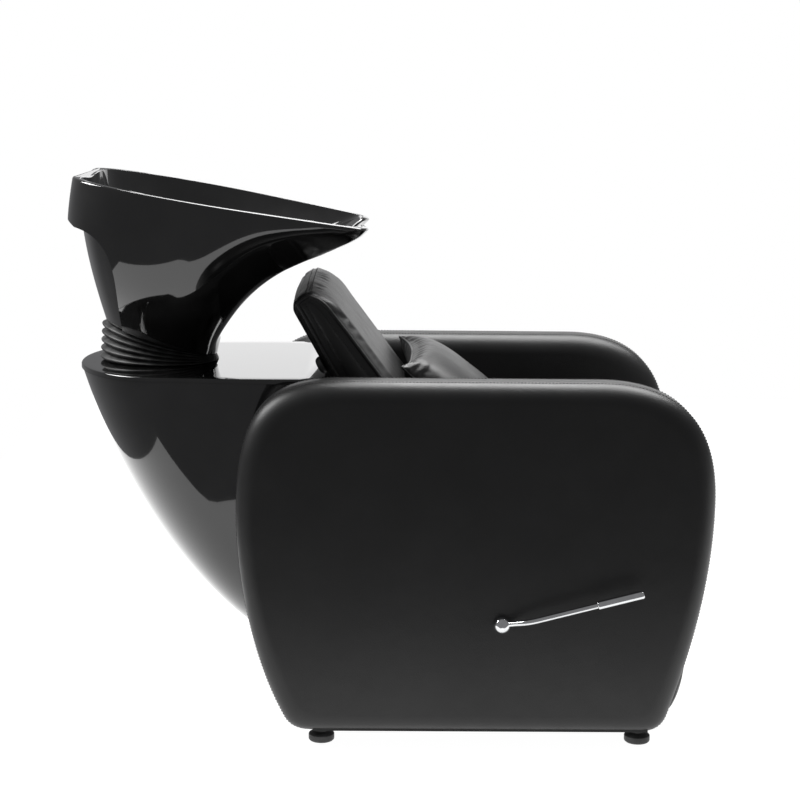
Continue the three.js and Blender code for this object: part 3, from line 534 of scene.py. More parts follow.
def arm_ring(points, inset, y):
    """The outline drawn in by a distance, as a scaled copy about its middle."""
    low, high = points.min(axis=0), points.max(axis=0)
    middle, size = (low + high) / 2, high - low
    drawn = (points - middle) * (1 - 2 * inset / size) + middle
    return np.stack([drawn[:, 0], np.full(len(points), y), drawn[:, 1]], axis=1)


def arm_section():
    """(inset, y) pairs over the roll, the seam grooves and the crowned side faces."""
    half, roll, seam = ARM["thick"] / 2, ARM["roll"], ARM["seam"]
    flat = half - roll
    groove = [(0, -2.5), (0.5, -1.2), (1.5, 0), (0.5, 1.2), (0, 2.5)]
    sewn_in = [(depth, y - seam) for depth, y in groove]
    seams = sewn_in + [(0, 0)] + [(depth, -y) for depth, y in sewn_in[::-1]]
    top = [(0, -flat)] + [point for point in seams if abs(point[1]) < flat] + [(0, flat)]
    rolled = []
    for step in np.linspace(0, 1, 15)[1:]:
        turn = step * math.pi / 2
        rolled.append((roll * (1 - math.cos(turn)), flat + roll * math.sin(turn)))
    face = []
    for share in (0.12, 0.25, 0.4, 0.55, 0.7, 0.85, 0.97):
        inset = mix(roll, ARM["deepest"], share)
        face.append((inset, half + ARM["crown"] * (1 - (1 - share) ** 2)))
    side = rolled + face
    return [(d, -y) for d, y in side[::-1]] + top + side


def build_arm(side, sign):
    points = arm_outline()
    rings = [arm_ring(points, inset, sign * ARM["middle"] + y) for inset, y in arm_section()]
    cover = skin(f"armrest_cover_{side}", rings, MATERIALS["leather"], smooth_angle=60)
    stands_for(cover, "chassis", "leather", f"arm_cover_{side}")

    middle = points.mean(axis=0)
    out = points - middle
    normals = np.stack([out[:, 0], np.zeros(len(out)), out[:, 1]], axis=1)
    for edge in (-1, 1):
        y = sign * ARM["middle"] + edge * (ARM["seam"] + 3.2)
        line = arm_ring(points, 0.1, y)
        where = "outer" if edge == sign else "inner"
        thread = stitches(f"armrest_stitch_{side}_{where}", line, normals, MATERIALS["thread"])
        sewn(thread, "chassis")


# ------------------------------------------------------------------ hull and deck

KEEL_STEPS = 1000
KEEL_LINE = bezier(KEEL, KEEL_STEPS + 1)


def hull_ring(t, inset=0.0, arc_steps=48):
    """One level of the hull: straight flared sides closed by half an ellipse at the back."""
    x0, z = KEEL_LINE[round(t * KEEL_STEPS)]
    drop = (DECK["top"] - z) / DECK["top"]
    full = DECK["half_width"] * (1 - drop**2.6)
    half = full - inset
    nose = DECK["nose"] * full / DECK["half_width"]
    nose_x = x0 + nose
    angles = np.linspace(math.pi / 2, 3 * math.pi / 2, arc_steps)
    arc = np.stack([nose_x + (nose - inset) * np.cos(angles), half * np.sin(angles)], axis=1)
    flare = DECK["flare"] * (1 - drop) ** 4
    side_x = mix(nose_x, HULL["front"] - inset, np.linspace(0, 1, 16)[1:])
    side_y = half + flare * smooth(side_x, nose_x, -200)
    near = np.stack([side_x, -side_y], axis=1)
    far = np.stack([side_x, side_y], axis=1)[::-1]
    ring = np.vstack([arc, near, far])
    return np.column_stack([ring, np.full(len(ring), z)])


def build_hull():
    levels = np.linspace(0, 1, 70) ** 1.15
    lip = DECK["top"] - DECK["thick"] - GAP
    outer = [hull_ring(t) for t in levels]
    inner = [hull_ring(t, HULL["wall"]) for t in levels]
    for ring in (*outer, *inner):
        ring[:, 2] = np.minimum(ring[:, 2], lip)
    shell = skin("pedestal_hull", outer[::-1] + inner, MATERIALS["gloss"], caps=False, smooth_angle=35)
    stands_for(shell, "chassis", "gloss", "pedestal_shell")


def build_deck():
    edge = hull_ring(0)
    roll, thick, top = 3.0, DECK["thick"], DECK["top"]
    angle = np.arctan2(edge[:, 1], edge[:, 0] - TILT["x"])
    around = DECK["hole"] * np.stack([np.cos(angle), np.sin(angle), np.zeros(len(angle))], axis=1)
    hole = around + [TILT["x"], 0, top]

    def drawn(ring, inset, z):
        away = ring - [DECK["middle"], 0, 0]
        away[:, 2] = 0
        scaled = ring - away / np.linalg.norm(away, axis=1)[:, None] * inset
        scaled[:, 2] = z
        return scaled

    rings = [drawn(hole, 0, top - thick), drawn(hole, 0, top)]
    rings += [mix(rings[1], drawn(edge, roll, top), t) for t in (0.3, 0.6, 0.85, 1)]
    for turn in np.linspace(0, math.pi / 2, 7)[1:]:
        rings.append(drawn(edge, roll * (1 - math.sin(turn)), top - roll * (1 - math.cos(turn))))
    rings.append(drawn(edge, 0, top - thick))
    deck = skin("pedestal_deck", rings, MATERIALS["gloss"], looped=True, smooth_angle=50)
    stands_for(deck, "chassis", "gloss", "deck_panel")


# ------------------------------------------------------------------ basin

RIM = [
    (306, 0), (310, 34), (330, 74), (341, 118), (327, 158), (284, 181),
    (190, 217), (60, 255), (-45, 257), (-114, 238), (-163, 206), (-191, 158), (-196, 80),
]
RIM_BACK = (-196, 0)
WELL = [
    (294, 0), (299, 34), (319, 72), (328, 116), (316, 150), (276, 171),
    (184, 206), (60, 244), (-40, 246), (-105, 226), (-151, 196), (-177, 152), (-182, 76),
]
WELL_BACK = (-182, 0)
CORE = [
    (274, 0), (280, 40), (298, 80), (304, 120), (290, 146), (254, 168),
    (180, 196), (60, 234), (-45, 237), (-108, 221), (-156, 186), (-184, 110),
]
CORE_BACK = (-190, 0)
FULLNESS = {"side": 1.9, "cape": 3, "core": 1.55, "well": 1.2}
RIM_CENTRE = 40
COLLAR_DROP = math.tan(math.radians(TILT["collar_lean"] - TILT["lean"]))


def rim_height(ring):
    """Flat except for a deep dip at the neck rest and a shallow one at the back."""
    u, v = ring[:, 0], ring[:, 1]

    def dip(depth, width, here):
        return depth * np.cos(math.pi * v / width) ** 2 * (here & (np.abs(v) < width / 2))

    notch = dip(BOWL["notch"], BOWL["notch_width"], u > 200)
    back = dip(BOWL["back_dip"], BOWL["back_dip_width"], u < -100)
    return BOWL["rim"] - notch - back


def wall_ring(rim, collar, s, back_fullness, lift=0.0):
    """A ring of the basin wall at a share s of its way from the collar to the rim."""
    angle = np.arctan2(rim[:, 1], rim[:, 0] - RIM_CENTRE)
    foot = np.stack([TILT["collar_shift"] + collar * np.cos(angle), collar * np.sin(angle)], axis=1)
    power = TRUMPET["power"]
    trumpet = s**power / (s**power + TRUMPET["hold"] * (1 - s) ** power)
    frontness = np.maximum(0, np.cos(angle)) ** 2
    backness = np.clip(-1.5 * np.cos(angle), 0, 1)
    fullness = mix(FULLNESS["side"], back_fullness, backness)
    out = mix(1 - (1 - s) ** fullness, trumpet, frontness)
    flat = mix(foot, rim, out[:, None])
    low = 11 - COLLAR_DROP * foot[:, 0]
    return np.column_stack([flat, mix(low, rim_height(rim), s) + lift])


def drawn_in(ring, distance, lift):
    away = ring[:, :2] - [RIM_CENTRE, 0]
    far = np.linalg.norm(away, axis=1)[:, None]
    flat = ring[:, :2] - away / far * distance
    return np.column_stack([flat, ring[:, 2] + lift])


def basin_skin(name, rings):
    return skin(name, [from_basin(ring) for ring in rings], MATERIALS["gloss"])


def skirt_curve(steps=40):
    """Edge of the skirt under the back of the rim, as (u, w) points from the rim down."""
    first = bezier([(-172, 204), (-105, 206), (-85, 124)], steps)
    second = bezier([(-85, 124), (-72, 70), (-64, -60)], steps)
    return np.vstack([first, second, [(-64, -60)]])


def cape_walls():
    """The outer wall from the collar to the rolled rim."""
    rim = closed_spline(RIM, RIM_BACK)
    roll = BOWL["roll"]
    walls = [wall_ring(rim, BOWL["collar"], s, FULLNESS["cape"]) for s in np.linspace(0, 0.97, 44)]
    edge = wall_ring(rim, BOWL["collar"], 1, FULLNESS["cape"])
    for turn in np.linspace(0, math.pi / 2, 8):
        walls.append(drawn_in(edge, roll * (1 - math.cos(turn)), roll * (math.sin(turn) - 1)))
    return walls


def skirt_prism():
    """Everything behind the skirt's edge, below the back of the rim."""
    loop = np.vstack([skirt_curve(), [(-260, -60), (-260, 240)]])
    return [np.column_stack([loop[:, 0], np.full(len(loop), v), loop[:, 1]]) for v in (-320, 320)]


def core_walls():
    """The narrower wall that shows behind the skirt."""
    inner = closed_spline(CORE, CORE_BACK)
    collar = BOWL["collar"] - 6
    return [wall_ring(inner, collar, s, FULLNESS["core"]) for s in np.linspace(0.01, 0.9, 40)]


def well_walls(floor_share=0.2, floor_spread=0.55):
    """The hollow of the bowl: a rounded floor, the wall and the rolled mouth."""
    well = closed_spline(WELL, WELL_BACK)
    roll = BOWL["roll"]
    rings = []
    shares = [np.linspace(0, floor_share, 14), np.linspace(floor_share, 0.97, 36)[1:]]
    for share in np.concatenate(shares):
        round_share = min(1, share / floor_share)
        turn = math.sqrt(1 - (1 - round_share) ** 2)
        ring = wall_ring(well, BOWL["throat"], mix(0.24, 1, share), FULLNESS["well"], BOWL["lip"])
        height = np.maximum(mix(BOWL["floor"], ring[:, 2], round_share), BOWL["floor"])
        ring[:, :2] *= mix(floor_spread, 1, turn)
        ring[:, 2] = height
        rings.append(ring)
    mouth = np.column_stack([well, rim_height(well)])
    for turn in np.linspace(0, math.pi / 2, 8):
        rings.append(drawn_in(mouth, -roll * (1 - math.cos(turn)), roll * (math.sin(turn) - 1)))
    rings.append(drawn_in(mouth, -roll, 40))
    return rings


def round_hole(*sections, sides=64):
    """Rings of (radius, height) sections about the basin's own axis."""
    angles = np.linspace(0, 2 * math.pi, sides, endpoint=False)
    return [
        np.column_stack([radius * np.cos(angles), radius * np.sin(angles), np.full(sides, float(height))])
        for radius, height in sections
    ]


def build_basin():
    cape = basin_skin("basin_moulding", cape_walls())
    boolean(cape, "DIFFERENCE", basin_skin("behind_skirt", skirt_prism()))
    boolean(cape, "UNION", basin_skin("core", core_walls()))
    boolean(cape, "DIFFERENCE", basin_skin("well", well_walls()))
    ceiling = BOWL["floor"] - BOWL["floor_thick"]
    foot, top, step = (CAVITY[name] for name in ("foot", "top", "step"))
    boolean(cape, "DIFFERENCE", basin_skin("under", round_hole((foot, -60), (foot, step), (top, ceiling))))
    drain = round_hole((DRAIN_HOLE, 0), (DRAIN_HOLE, BOWL["floor"] + 30))
    boolean(cape, "DIFFERENCE", basin_skin("drain", drain))
    shade(cape.data, 32)
    stands_for(cape, "basin", "gloss", "basin")


def build_drain():
    top = BOWL["floor"] + GAP
    flange = rounded([
        (17, 22), (22, 22), (22, top), (34, top), (32, top + 3), (19, top + 3), (17, top + 1),
    ], 0.8)
    body = basin_skin("drain_flange", turned_rings([*flange, (17, 22)]))
    body.data.materials[0] = MATERIALS["chrome"]
    stands_for(body, "basin", "chrome", "drain_body")



def build_strainer():
    seat = BOWL["floor"] + GAP + 3 + GAP
    dome = [
        (0, seat - 14), (6, seat - 14), (6, seat), (27, seat),
        (27, seat + 1.5), (16, seat + 4), (0, seat + 5.5),
    ]
    strainer = basin_skin("hair_strainer_dome", turned_rings(rounded(dome, 1.0)))
    for count, radius in ((6, 12), (12, 20)):
        for i in range(count):
            turn = 2 * math.pi * i / count
            at = (radius * math.cos(turn), radius * math.sin(turn), 0)
            hole = turned_rings([(2.2, seat - 5), (2.2, seat + 12)], at, sides=16)
            boolean(strainer, "DIFFERENCE", basin_skin("hole", hole))
    strainer.data.materials.clear()
    strainer.data.materials.append(MATERIALS["chrome"])
    shade(strainer.data, 35)
    stands_for(strainer, "strainer", "chrome", "hair_strainer")


# ------------------------------------------------------------------ bellows and cuff

def bend_between(piece, node_name):
    """Bakes a rubber piece's placement into its mesh and hides the CAD node it stands in for."""
    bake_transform(piece)
    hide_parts(node_name)


def build_bellows():
    """Concertina boot between the deck and the leaning collar of the basin."""
    count = 120
    angles = np.linspace(0, 2 * math.pi, count, endpoint=False)
    collar_top = TILT["z"] + 9.8
    lean = math.tan(math.radians(TILT["collar_lean"]))

    def ring(t, radius):
        x = TILT["collar_shift"] + radius * np.cos(angles)
        z = mix(DECK["top"] + GAP, collar_top - lean * x, t)
        return np.column_stack([TILT["x"] + x, radius * np.sin(angles), z])

    folds = []
    for t in np.linspace(0, 1, BELLOWS["ribs"] * 16 + 1):
        crest = mix(BELLOWS["base"], BELLOWS["top"], t)
        wave = 0.5 - 0.5 * math.cos(2 * math.pi * BELLOWS["ribs"] * t)
        folds.append(ring(t, crest - BELLOWS["depth"] * (1 - wave**0.6)))
    lining = [ring(t, BELLOWS["inner"]) for t in (1, 0.8, 0.6, 0.4, 0.2, 0)]
    boot = skin("bellows_boot", folds + lining, MATERIALS["rubber"], looped=True)
    bend_between(boot, "bellows")


def build_cuff():
    """Rubber sleeve from the waste pipe up to the tilting drain."""
    start = TILT["z"] - CUFF["below"]
    bore, foot, top = CUFF["bore"], CUFF["foot"], CUFF["top"]
    lining = top - CUFF["thick"]
    profile = [
        (bore, start - 34), (foot, start - 34), (foot, start + 6), (top, start + 30), (top, start + 70),
        (lining, start + 70), (lining, start + 32), (bore, start + 8), (bore, start - 34),
    ]
    cuff = turned("waste_boot", rounded(profile, 2), MATERIALS["rubber"], at=(TILT["x"], 0, 0))
    bend_between(cuff, "waste_cuff")


# ------------------------------------------------------------------ upholstery

def inward(points):
    """Unit normals of a closed outline that point into it."""
    ahead = np.roll(points, -1, axis=0) - np.roll(points, 1, axis=0)
    ahead /= np.linalg.norm(ahead, axis=1)[:, None]
    normals = np.stack([-ahead[:, 1], ahead[:, 0]], axis=1)
    middle = points.mean(axis=0)
    turned_out = np.sum(normals * (middle - points), axis=1).sum() < 0
    return -normals if turned_out else normals


def padded_block(name, points, half, roll, crown=0.0):
    """A padded slab: an XZ outline run across Y, with rolled sides and a crowned middle."""
    normals = inward(points)
    stations = [(-half, roll)]
    for turn in np.linspace(0, math.pi / 2, 7)[1:]:
        stations.append((-half + roll * (1 - math.cos(turn)), roll * (1 - math.sin(turn))))
    flat = half - roll
    stations += [(y, 0) for y in np.linspace(-flat, 0, 14)[1:]]
    stations += [(-y, inset) for y, inset in stations[-2::-1]]
    rings = []
    for y, inset in stations:
        swell = crown * (1 - (y / half) ** 2)
        ring = points + normals * (inset - swell)
        rings.append(np.column_stack([ring[:, 0], np.full(len(ring), y), ring[:, 1]]))
    return skin(name, rings, MATERIALS["leather"], smooth_angle=60)


def coordinates(mesh):
    flat = np.empty(len(mesh.vertices) * 3, np.float32)
    mesh.vertices.foreach_get("co", flat)
    return flat.reshape(-1, 3).astype(float)


def set_coordinates(mesh, points):
    mesh.vertices.foreach_set("co", np.asarray(points, np.float32).ravel())
    mesh.update()


CLOTH_FRAMES = 20


def swell(piece, pressure):
    """Lets air pressure push the piece out as cloth."""
    cloth = piece.modifiers.new("cloth", "CLOTH")
    settings = cloth.settings
    settings.quality = 3
    settings.use_pressure = True
    settings.uniform_pressure_force = pressure
    settings.effector_weights.gravity = 0
    cloth.point_cache.frame_start = 1
    cloth.point_cache.frame_end = CLOTH_FRAMES
    for number in range(1, CLOTH_FRAMES + 1):
        bpy.context.scene.frame_set(number)
    evaluate(piece)
    bpy.context.scene.frame_set(1)


def inflate(piece, voxel, cap, pressure=4.0, low=None, high=None):
    """Remeshes the piece evenly and swells it, by no more than cap mm and inside a part-frame box."""
    material = piece.data.materials[0]
    remesh = piece.modifiers.new("remesh", "REMESH")
    remesh.mode = "VOXEL"
    remesh.voxel_size = voxel / 1000
    remesh.use_smooth_shade = True
    evaluate(piece)
    before = coordinates(piece.data)
    swell(piece, pressure)
    moved = coordinates(piece.data) - before
    far = np.linalg.norm(moved, axis=1, keepdims=True)
    points = before + moved * np.minimum(1, cap / 1000 / np.maximum(far, 1e-9))
    if low is not None:
        points = np.maximum(points, place([low])[0])
    if high is not None:
        points = np.minimum(points, place([high])[0])
    set_coordinates(piece.data, points)
    subdivide(piece)
    piece.data.materials.clear()
    piece.data.materials.append(material)
    piece.data.shade_smooth()


def nearest(piece, line):
    """Points of the piece's surface nearest to a part-frame line, with their normals."""
    tree = BVHTree.FromPolygons(
        [v.co for v in piece.data.vertices], [p.vertices for p in piece.data.polygons])
    found = [tree.find_nearest(Vector(p)) for p in place(line)]
    spots = np.array([f[0] for f in found])
    return (spots - ORIGIN) * 1000, np.array([f[1] for f in found])


def softened(line, passes=3, closed=False):
    line = np.array(line, float)
    for _ in range(passes):
        smoothed = (np.roll(line, 1, axis=0) + 2 * line + np.roll(line, -1, axis=0)) / 4
        if not closed:
            smoothed[[0, -1]] = line[[0, -1]]
        line = smoothed
    return line


def groove(piece, line, width, depth):
    """Pulls the surface in along a part-frame line, as a sewn seam does."""
    spots, normals = nearest(piece, line)
    points = coordinates(piece.data)
    centres = place(spots)
    reach = width / 1000
    low, high = centres.min(axis=0) - reach, centres.max(axis=0) + reach
    inside = np.flatnonzero(np.all((points > low) & (points < high), axis=1))
    for i in inside:
        gaps = np.linalg.norm(centres - points[i], axis=1)
        closest = gaps.argmin()
        if gaps[closest] < reach:
            fall = (1 - (gaps[closest] / reach) ** 2) ** 2
            points[i] -= normals[closest] * depth / 1000 * fall
    set_coordinates(piece.data, points)


def back_face_x(z, face):
    x, level, run = BACK_FACE[face]
    return x + (level - z) * run


def back_outline():
    """Flat faces that meet in a curved front shoulder, a seamed crown and a sharper rear edge."""
    foot, crown, edge = BACK["foot"], BACK["crown"], BACK["rear_edge"]
    front_foot = (back_face_x(foot, "front"), foot)
    rear_edge = (back_face_x(edge, "rear"), edge)
    return even(outline(
        front_foot,
        [(back_face_x(BACK["shoulder"], "front"), BACK["shoulder"])],
        [(-106, 798), crown],
        [(-155, 795), rear_edge],
        [(back_face_x(foot, "rear"), foot)],
        [front_foot],
    ), 300)


def back_droop(y, z):
    """How far the crowned top sinks towards the sides."""
    return BACK["droop"] * np.abs(y / BACK["half_width"]) ** 2.2 * smooth(z, 770, BACK["crown"][1])


def back_side_lines(points, order, side, inset, depth):
    """A line on one side face of the backrest, at an inset from its outline."""
    loop = points + inward(points) * inset
    y = SIDES[side] * (BACK["half_width"] - depth)
    loop = np.column_stack([loop[:, 0], np.full(len(loop), y), loop[:, 1]])
    loop[:, 2] -= back_droop(loop[:, 1], loop[:, 2])
    return loop[order]


def build_back_side(piece, points, side):
    """Welt round one side of the backrest and the sewn band inside it, above the seat."""
    start = np.argmin(np.abs(points[:, 1] - WELT["from"]) + 1000 * (points[:, 0] < 0))
    order = np.roll(np.arange(len(points)), -start)
    order = order[points[order, 1] > WELT["from"]]

    line, _ = nearest(piece, back_side_lines(points, order, side, WELT["inset"], 2))
    welt = tube(f"backrest_welt_{side}", softened(line, 6), WELT["radius"], MATERIALS["leather"])
    sewn(welt, "chassis")

    line, ups = nearest(piece, back_side_lines(points, order, side, WELT["band"], 0))
    band = softened(line, 4)
    groove(piece, band, 5, 1.6)
    sewn(stitches(f"backrest_stitch_{side}", band, ups, MATERIALS["thread"]), "chassis")


def build_backrest():
    points = back_outline()
    half = BACK["half_width"]
    crown_x, crown_z = BACK["crown"]
    shrink = 4
    slab = points + inward(points) * shrink
    piece = padded_block("backrest_padding", slab, half - shrink, BACK["roll"], 3)
    row = (coordinates(piece.data) - ORIGIN) * 1000
    row[:, 2] -= back_droop(row[:, 1], row[:, 2])
    set_coordinates(piece.data, place(row))
    inflate(piece, 5, 5, low=(-400, -half, BACK["foot"]), high=(400, half, crown_z + 3))

    across = np.linspace(-half + 4, half - 4, 140)
    droop = back_droop(across, crown_z)
    seam = np.column_stack([np.full(len(across), crown_x), across, crown_z - droop + 1])
    rear_seam = seam + [-24, 0, -20]
    for line in (seam, rear_seam):
        groove(piece, line, 5, 2.0)
    stands_for(piece, "chassis", "leather", "backrest_cushion")

    for edge, shift in (("front", 5.5), ("rear", -5.5)):
        line, ups = nearest(piece, seam + [shift, 0, 1])
        thread = stitches(f"backrest_stitch_top_{edge}", line, ups, MATERIALS["thread"])
        sewn(thread, "chassis")
    for side in SIDES:
        build_back_side(piece, points, side)


def build_seat():
    bottom, top, front = SEAT["bottom"] + GAP, SEAT["top"], SEAT["front"]
    lip, lip_back, nose = SEAT["lip"], SEAT["lip_back"], SEAT["nose"]
    clearance = 3
    rear_foot = (back_face_x(bottom, "front") + clearance, bottom)
    points = even(outline(
        rear_foot,
        [(lip_back, bottom)],
        [(lip_back, lip)],
        [(front - 3, lip)],
        [(front, lip), (front, bottom)],
        [(front, top - nose)],
        [(front, top), (front - nose, top)],
        [(back_face_x(top, "front") + clearance, top)],
        [rear_foot],
    ), 260)
    shrink = 2
    half = SEAT["half_width"]
    piece = padded_block("seat_padding", points + inward(points) * shrink, half - shrink, 12)
    inflate(piece, 5, 8, low=(0, -half - 3, lip), high=(front + 6, half + 3, top + 8))
    stands_for(piece, "chassis", "leather", "seat_cushion")

    across = np.linspace(-half + 6, half - 6, 150)
    front_seam = np.array([(front - 12, y, top - 2) for y in across])
    groove(piece, front_seam, 5, 1.8)
    line, ups = nearest(piece, front_seam + [-6, 0, 3])
    thread = stitches("seat_stitch_front", line, ups, MATERIALS["thread"])
    sewn(thread, "chassis")


def pillow_point(a, b, face):
    """A point of the lumbar pillow: a runs across it and b from its top edge to its foot."""
    top, foot = np.array(PILLOW["top"], float), np.array(PILLOW["foot"], float)
    down = foot - top
    normal = np.array([-down[1], down[0]]) / np.linalg.norm(down)
    full = ((1 - a**4) * (1 - b**4)) ** 0.6
    sunk = full * (0.8 + PILLOW["sag"] * b)
    swell = PILLOW["front"] if face > 0 else PILLOW["back"]
    rim = 1 - smooth(full, 0.05, 0.75)
    along = np.where(np.abs(a) > np.abs(b), b * 5.5 + 0.4 * np.sin(7 * b), a * 8 + 0.5 * np.sin(5 * a))
    crease = 2.6 * rim * np.sin(2 * math.pi * along) * (full > 0.01)
    lift = face * (PILLOW["rim"] + sunk * swell + crease) + PILLOW["bow"] * (1 - a**2)
    width = a * PILLOW["half_width"] * (1 - 0.06 * (1 - b**4))
    share = (b * (1 - 0.1 * (1 - a**4)) + 1) / 2
    flat = top + down * share[..., None] + normal * lift[..., None]
    return np.stack([flat[..., 0], width, flat[..., 1]], axis=-1)


def build_pillow():
    steps = 60
    b = np.linspace(-1, 1, steps)
    rings = []
    for a in np.sin(np.linspace(-math.pi / 2, math.pi / 2, 80)):
        across = np.full(steps, a)
        rings.append(np.vstack([pillow_point(across, b, 1), pillow_point(across, b[::-1], -1)]))
    piece = skin("lumbar_pillow_padding", rings, MATERIALS["soft_leather"], smooth_angle=80)
    inflate(piece, 4, 7, pressure=3)
    stands_for(piece, "pillow", "soft_leather", "lumbar_pillow")

    edge = np.linspace(-1, 1, 90)[:-1]
    one = np.ones_like(edge)
    corners = [(edge, -one), (one, edge), (-edge, one), (-one, -edge)]
    rim = np.vstack([pillow_point(u, v, 1) - [0, 0, 1] for u, v in corners])
    line, _ = nearest(piece, rim)
    loop = softened(line, 4, closed=True)
    piping = tube("lumbar_pillow_piping", loop, 2.4, MATERIALS["soft_leather"], closed=True)
    sewn(piping, "pillow")


def build_legrest():
    back, front, bottom, top = (LEG[k] for k in ("back", "front", "bottom", "top"))
    points = even(outline(
        (back, top),
        [(back, bottom + 60)],
        [(back, bottom + 20), (back + 12, bottom), (back + 30, bottom)],
        [(front - 22, bottom), (front - 8, bottom + 60), (front, bottom + 130)],
        [(front, top - 14)],
        [(front, top), (front - 14, top)],
        [(back, top)],
    ), 240)
    half = LEG["half_width"]
    shrink = 2
    piece = padded_block("legrest_padding", points + inward(points) * shrink, half - shrink, 12)
    inflate(piece, 5, 6, low=(back, -half - 3, bottom), high=(front + 6, half + 3, top))
    (y0, y1), (z0, z1) = HANGER_SLOT["y"], HANGER_SLOT["z"]
    for sign in SIDES.values():
        slot = [
            [(x, sign * y, z) for y, z in ((y0, z0), (y1, z0), (y1, z1), (y0, z1))]
            for x in (back - 5, front + 15)
        ]
        boolean(piece, "DIFFERENCE", skin("slot", slot, None))
    shade(piece.data, 45)
    stands_for(piece, "legrest", "leather", "legrest_pad")


# ------------------------------------------------------------------ lever, glides, bumpers

def build_lever():
    face = -(ARM["middle"] + ARM["thick"] / 2)
    hub_at = (LEVER["x"], face - 4 - GAP, LEVER["z"])
    rose_at = (LEVER["x"], face - GAP, LEVER["z"])
    plate = rounded([(11, 0), (18, 0), (18, 1.5), (15, 3.5), (11, 3.5)], 0.8)
    rose = turned("lever_rose", [*plate, (11, 0)], MATERIALS["chrome"], rose_at, "Y")
    stands_for(rose, "chassis", "chrome", "lever_escutcheon")
    dome = rounded([(0, 0), (15, 0), (15.5, 4), (13, 11), (7, 16), (0, 17)], 3, 7)
    boss = turned("lever_boss", dome, MATERIALS["chrome"], hub_at, "Y")
    stands_for(boss, "lever", "chrome", "lever_hub")

    rise = math.radians(LEVER["rise"])

    def leaning(points):
        x, y, z = np.asarray(points, float).T
        return np.column_stack([
            LEVER["x"] + x * math.cos(rise) - z * math.sin(rise), y,
            LEVER["z"] + x * math.sin(rise) + z * math.cos(rise),
        ])

    grip, out = LEVER["grip"], -LEVER["out"]
    grip_start = LEVER["length"] - grip
    straight_from = 66
    bend = bezier([(8, face - 11, 0), (30, face - 19, 0), (34, out, 0), (straight_from, out, 0)], 30)
    straight = [(x, out, 0) for x in np.linspace(straight_from, grip_start - GAP, 12)]
    rod = tube("lever_stem", leaning(np.vstack([bend, straight])), 5, MATERIALS["chrome"], sides=24)
    stands_for(rod, "lever", "chrome", "lever_rod")
    profile = rounded([(0, 0), (6.4, 0), (7.5, 1.5), (7.5, grip - 2), (6, grip), (0, grip)], 1.2)
    rings = turned_rings(profile, (grip_start, out, 0), "X")
    handle = skin("lever_handgrip", [leaning(ring) for ring in rings], MATERIALS["chrome"])
    stands_for(handle, "lever", "chrome", "lever_grip")


def build_feet():
    radius, dome, stem, stud = (FOOT[name] for name in ("radius", "dome", "stem", "stud"))
    seat, top = ARM["bottom"] - GAP, ARM["bottom"] + 15
    glide = rounded([
        (0, 0), (radius - 3, 0), (radius, 3), (radius, dome - 3), (radius - 5, dome),
        (stem, dome + 2), (stem, seat), (stud, seat), (stud, top), (0, top),
    ], 1.5)
    for side, sign in SIDES.items():
        for end, x in zip(("rear", "front"), FOOT["x"]):
            foot = turned(f"glide_{side}_{end}", glide, MATERIALS["rubber"], (x, sign * ARM["middle"], 0))
            stands_for(foot, "chassis", "rubber", f"foot_{side}_{end}")


def build_bumpers():
    """Rubber domes on the rear face of the backrest."""
    r, h = BUMPER["radius"], BUMPER["height"]
    dome = rounded([(0, 0), (r, 0), (r, h / 3), (r * 0.85, h * 0.8), (r / 2, h), (0, h)], 3, 7)
    lean = math.atan(BACK_FACE["rear"][2])
    out = np.array([-math.cos(lean), 0, -math.sin(lean)])
    along = np.array([-math.sin(lean), 0, math.cos(lean)])
    for side, sign in SIDES.items():
        foot = np.array([back_face_x(BUMPER["z"], "rear"), sign * BUMPER["y"], BUMPER["z"]])
        rings = [foot + ring @ [along, [0, 1, 0], out] for ring in turned_rings(dome)]
        bumper = skin(f"bumper_{side}", rings, MATERIALS["rubber"])
        stands_for(bumper, "chassis", "rubber", f"backrest_bumper_{side}")


# ------------------------------------------------------------------ CAD nodes that show

NODE_FINISH = {
    "plywood": ("arm_frame", "seat_rail", "seat_board", "backrest_board", "legrest_board"),
    "stain": ("arm_base_board",),
    "steel": (
        "base_frame", "backrest_bracket", "legrest_bracket", "legrest_hanger",
        "basin_stand", "tilt_yoke", "basin_hanger",
    ),
    "zinc": ("drive_shaft", "crank", "link", "tilt_pin"),
    "plastic": ("shaft_bearing", "friction_washer", "waste_pipe", "drain_nut"),
    "rubber": ("drain_gasket",),
}


def finish_nodes():
    for finish, stems in NODE_FINISH.items():
        for name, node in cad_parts.items():
            if name.startswith(stems):
                node.data.materials.clear()
                node.data.materials.append(MATERIALS[finish])


# ------------------------------------------------------------------ studio

def area_light(name, at, aim, size, power):
    data = bpy.data.lights.new(name, "AREA")
    data.shape = "RECTANGLE"
    data.size, data.size_y = size
    data.energy = power
    lamp = bpy.data.objects.new(name, data)
    bpy.context.scene.collection.objects.link(lamp)
    lamp.location = at
    lamp.rotation_euler = (Vector(aim) - Vector(at)).to_track_quat("-Z", "Y").to_euler()
    lamp.visible_camera = False


def build_floor():
    (x0, x1), (y0, y1) = FLOOR["x"], FLOOR["y"]
    mesh = bpy.data.meshes.new("studio_floor")
    mesh.from_pydata([(x0, y0, 0), (x1, y0, 0), (x1, y1, 0), (x0, y1, 0)], [], [(0, 1, 2, 3)])
    floor = bpy.data.objects.new("studio_floor", mesh)
    bpy.context.scene.collection.objects.link(floor)
    material, surface, *_ = shader("studio_paper", (0.2, 0.2, 0.2), 0.9, Specular_IOR_Level=0.0)
    surface.inputs["Emission Color"].default_value = (1, 1, 1, 1)
    surface.inputs["Emission Strength"].default_value = 0.98
    mesh.materials.append(material)


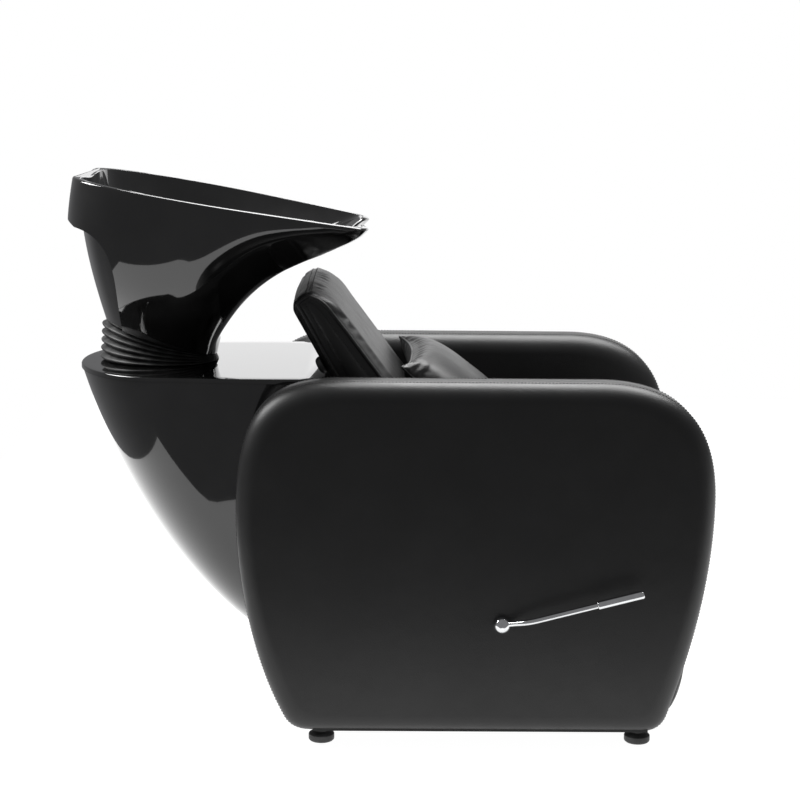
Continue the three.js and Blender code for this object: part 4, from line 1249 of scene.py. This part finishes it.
def build_world():
    """A dim grey room to light and reflect in the piece, seen directly as plain white."""
    world = bpy.data.worlds.new("studio_world")
    bpy.context.scene.world = world
    world.use_nodes = True
    nodes, link = world.node_tree.nodes, world.node_tree.links.new
    room = nodes["Background"]
    room.inputs["Color"].default_value = (0.18, 0.18, 0.184, 1)
    white = nodes.new("ShaderNodeBackground")
    white.inputs["Color"].default_value = (1, 1, 1, 1)
    seen = nodes.new("ShaderNodeLightPath")
    choose = nodes.new("ShaderNodeMixShader")
    link(seen.outputs["Is Camera Ray"], choose.inputs["Fac"])
    link(room.outputs["Background"], choose.inputs[1])
    link(white.outputs["Background"], choose.inputs[2])
    link(choose.outputs["Shader"], nodes["World Output"].inputs["Surface"])


def build_lights():
    area_light("backdrop", (0.95, 3.4, 0.85), (0.95, 0, 0.85), (3.5, 1.7), 17)
    area_light("overhead", (0.6, 0.95, 2.6), (0.1, 0, 0.5), (2.6, 1.6), 112)
    area_light("window", (-2.2, 0.1, 2.3), (-0.3, 0, 0.6), (1.2, 1.2), 76)


def build_camera():
    data = bpy.data.cameras.new("camera")
    data.sensor_width = 36
    data.lens = CAMERA["lens"]
    camera = bpy.data.objects.new("camera", data)
    bpy.context.scene.collection.objects.link(camera)
    yaw, pitch, roll = (math.radians(CAMERA[name]) for name in ("yaw", "pitch", "roll"))
    camera.matrix_world = (
        Matrix.Translation(Vector(ORIGIN) + Vector(CAMERA["at"]))
        @ Matrix.Rotation(-yaw, 4, "Z")
        @ Matrix.Rotation(math.pi / 2 - pitch, 4, "X")
        @ Matrix.Rotation(roll, 4, "Z")
    )
    bpy.context.scene.camera = camera
    bpy.context.scene.view_settings.view_transform = "Standard"


# ------------------------------------------------------------------ assembly

build_camera()
build_floor()
build_world()
build_lights()
for side, sign in SIDES.items():
    build_arm(side, sign)
build_hull()
build_deck()
build_basin()
build_drain()
build_strainer()
build_bellows()
build_cuff()
build_backrest()
build_seat()
build_pillow()
build_legrest()
build_lever()
build_feet()
build_bumpers()
finish_nodes()
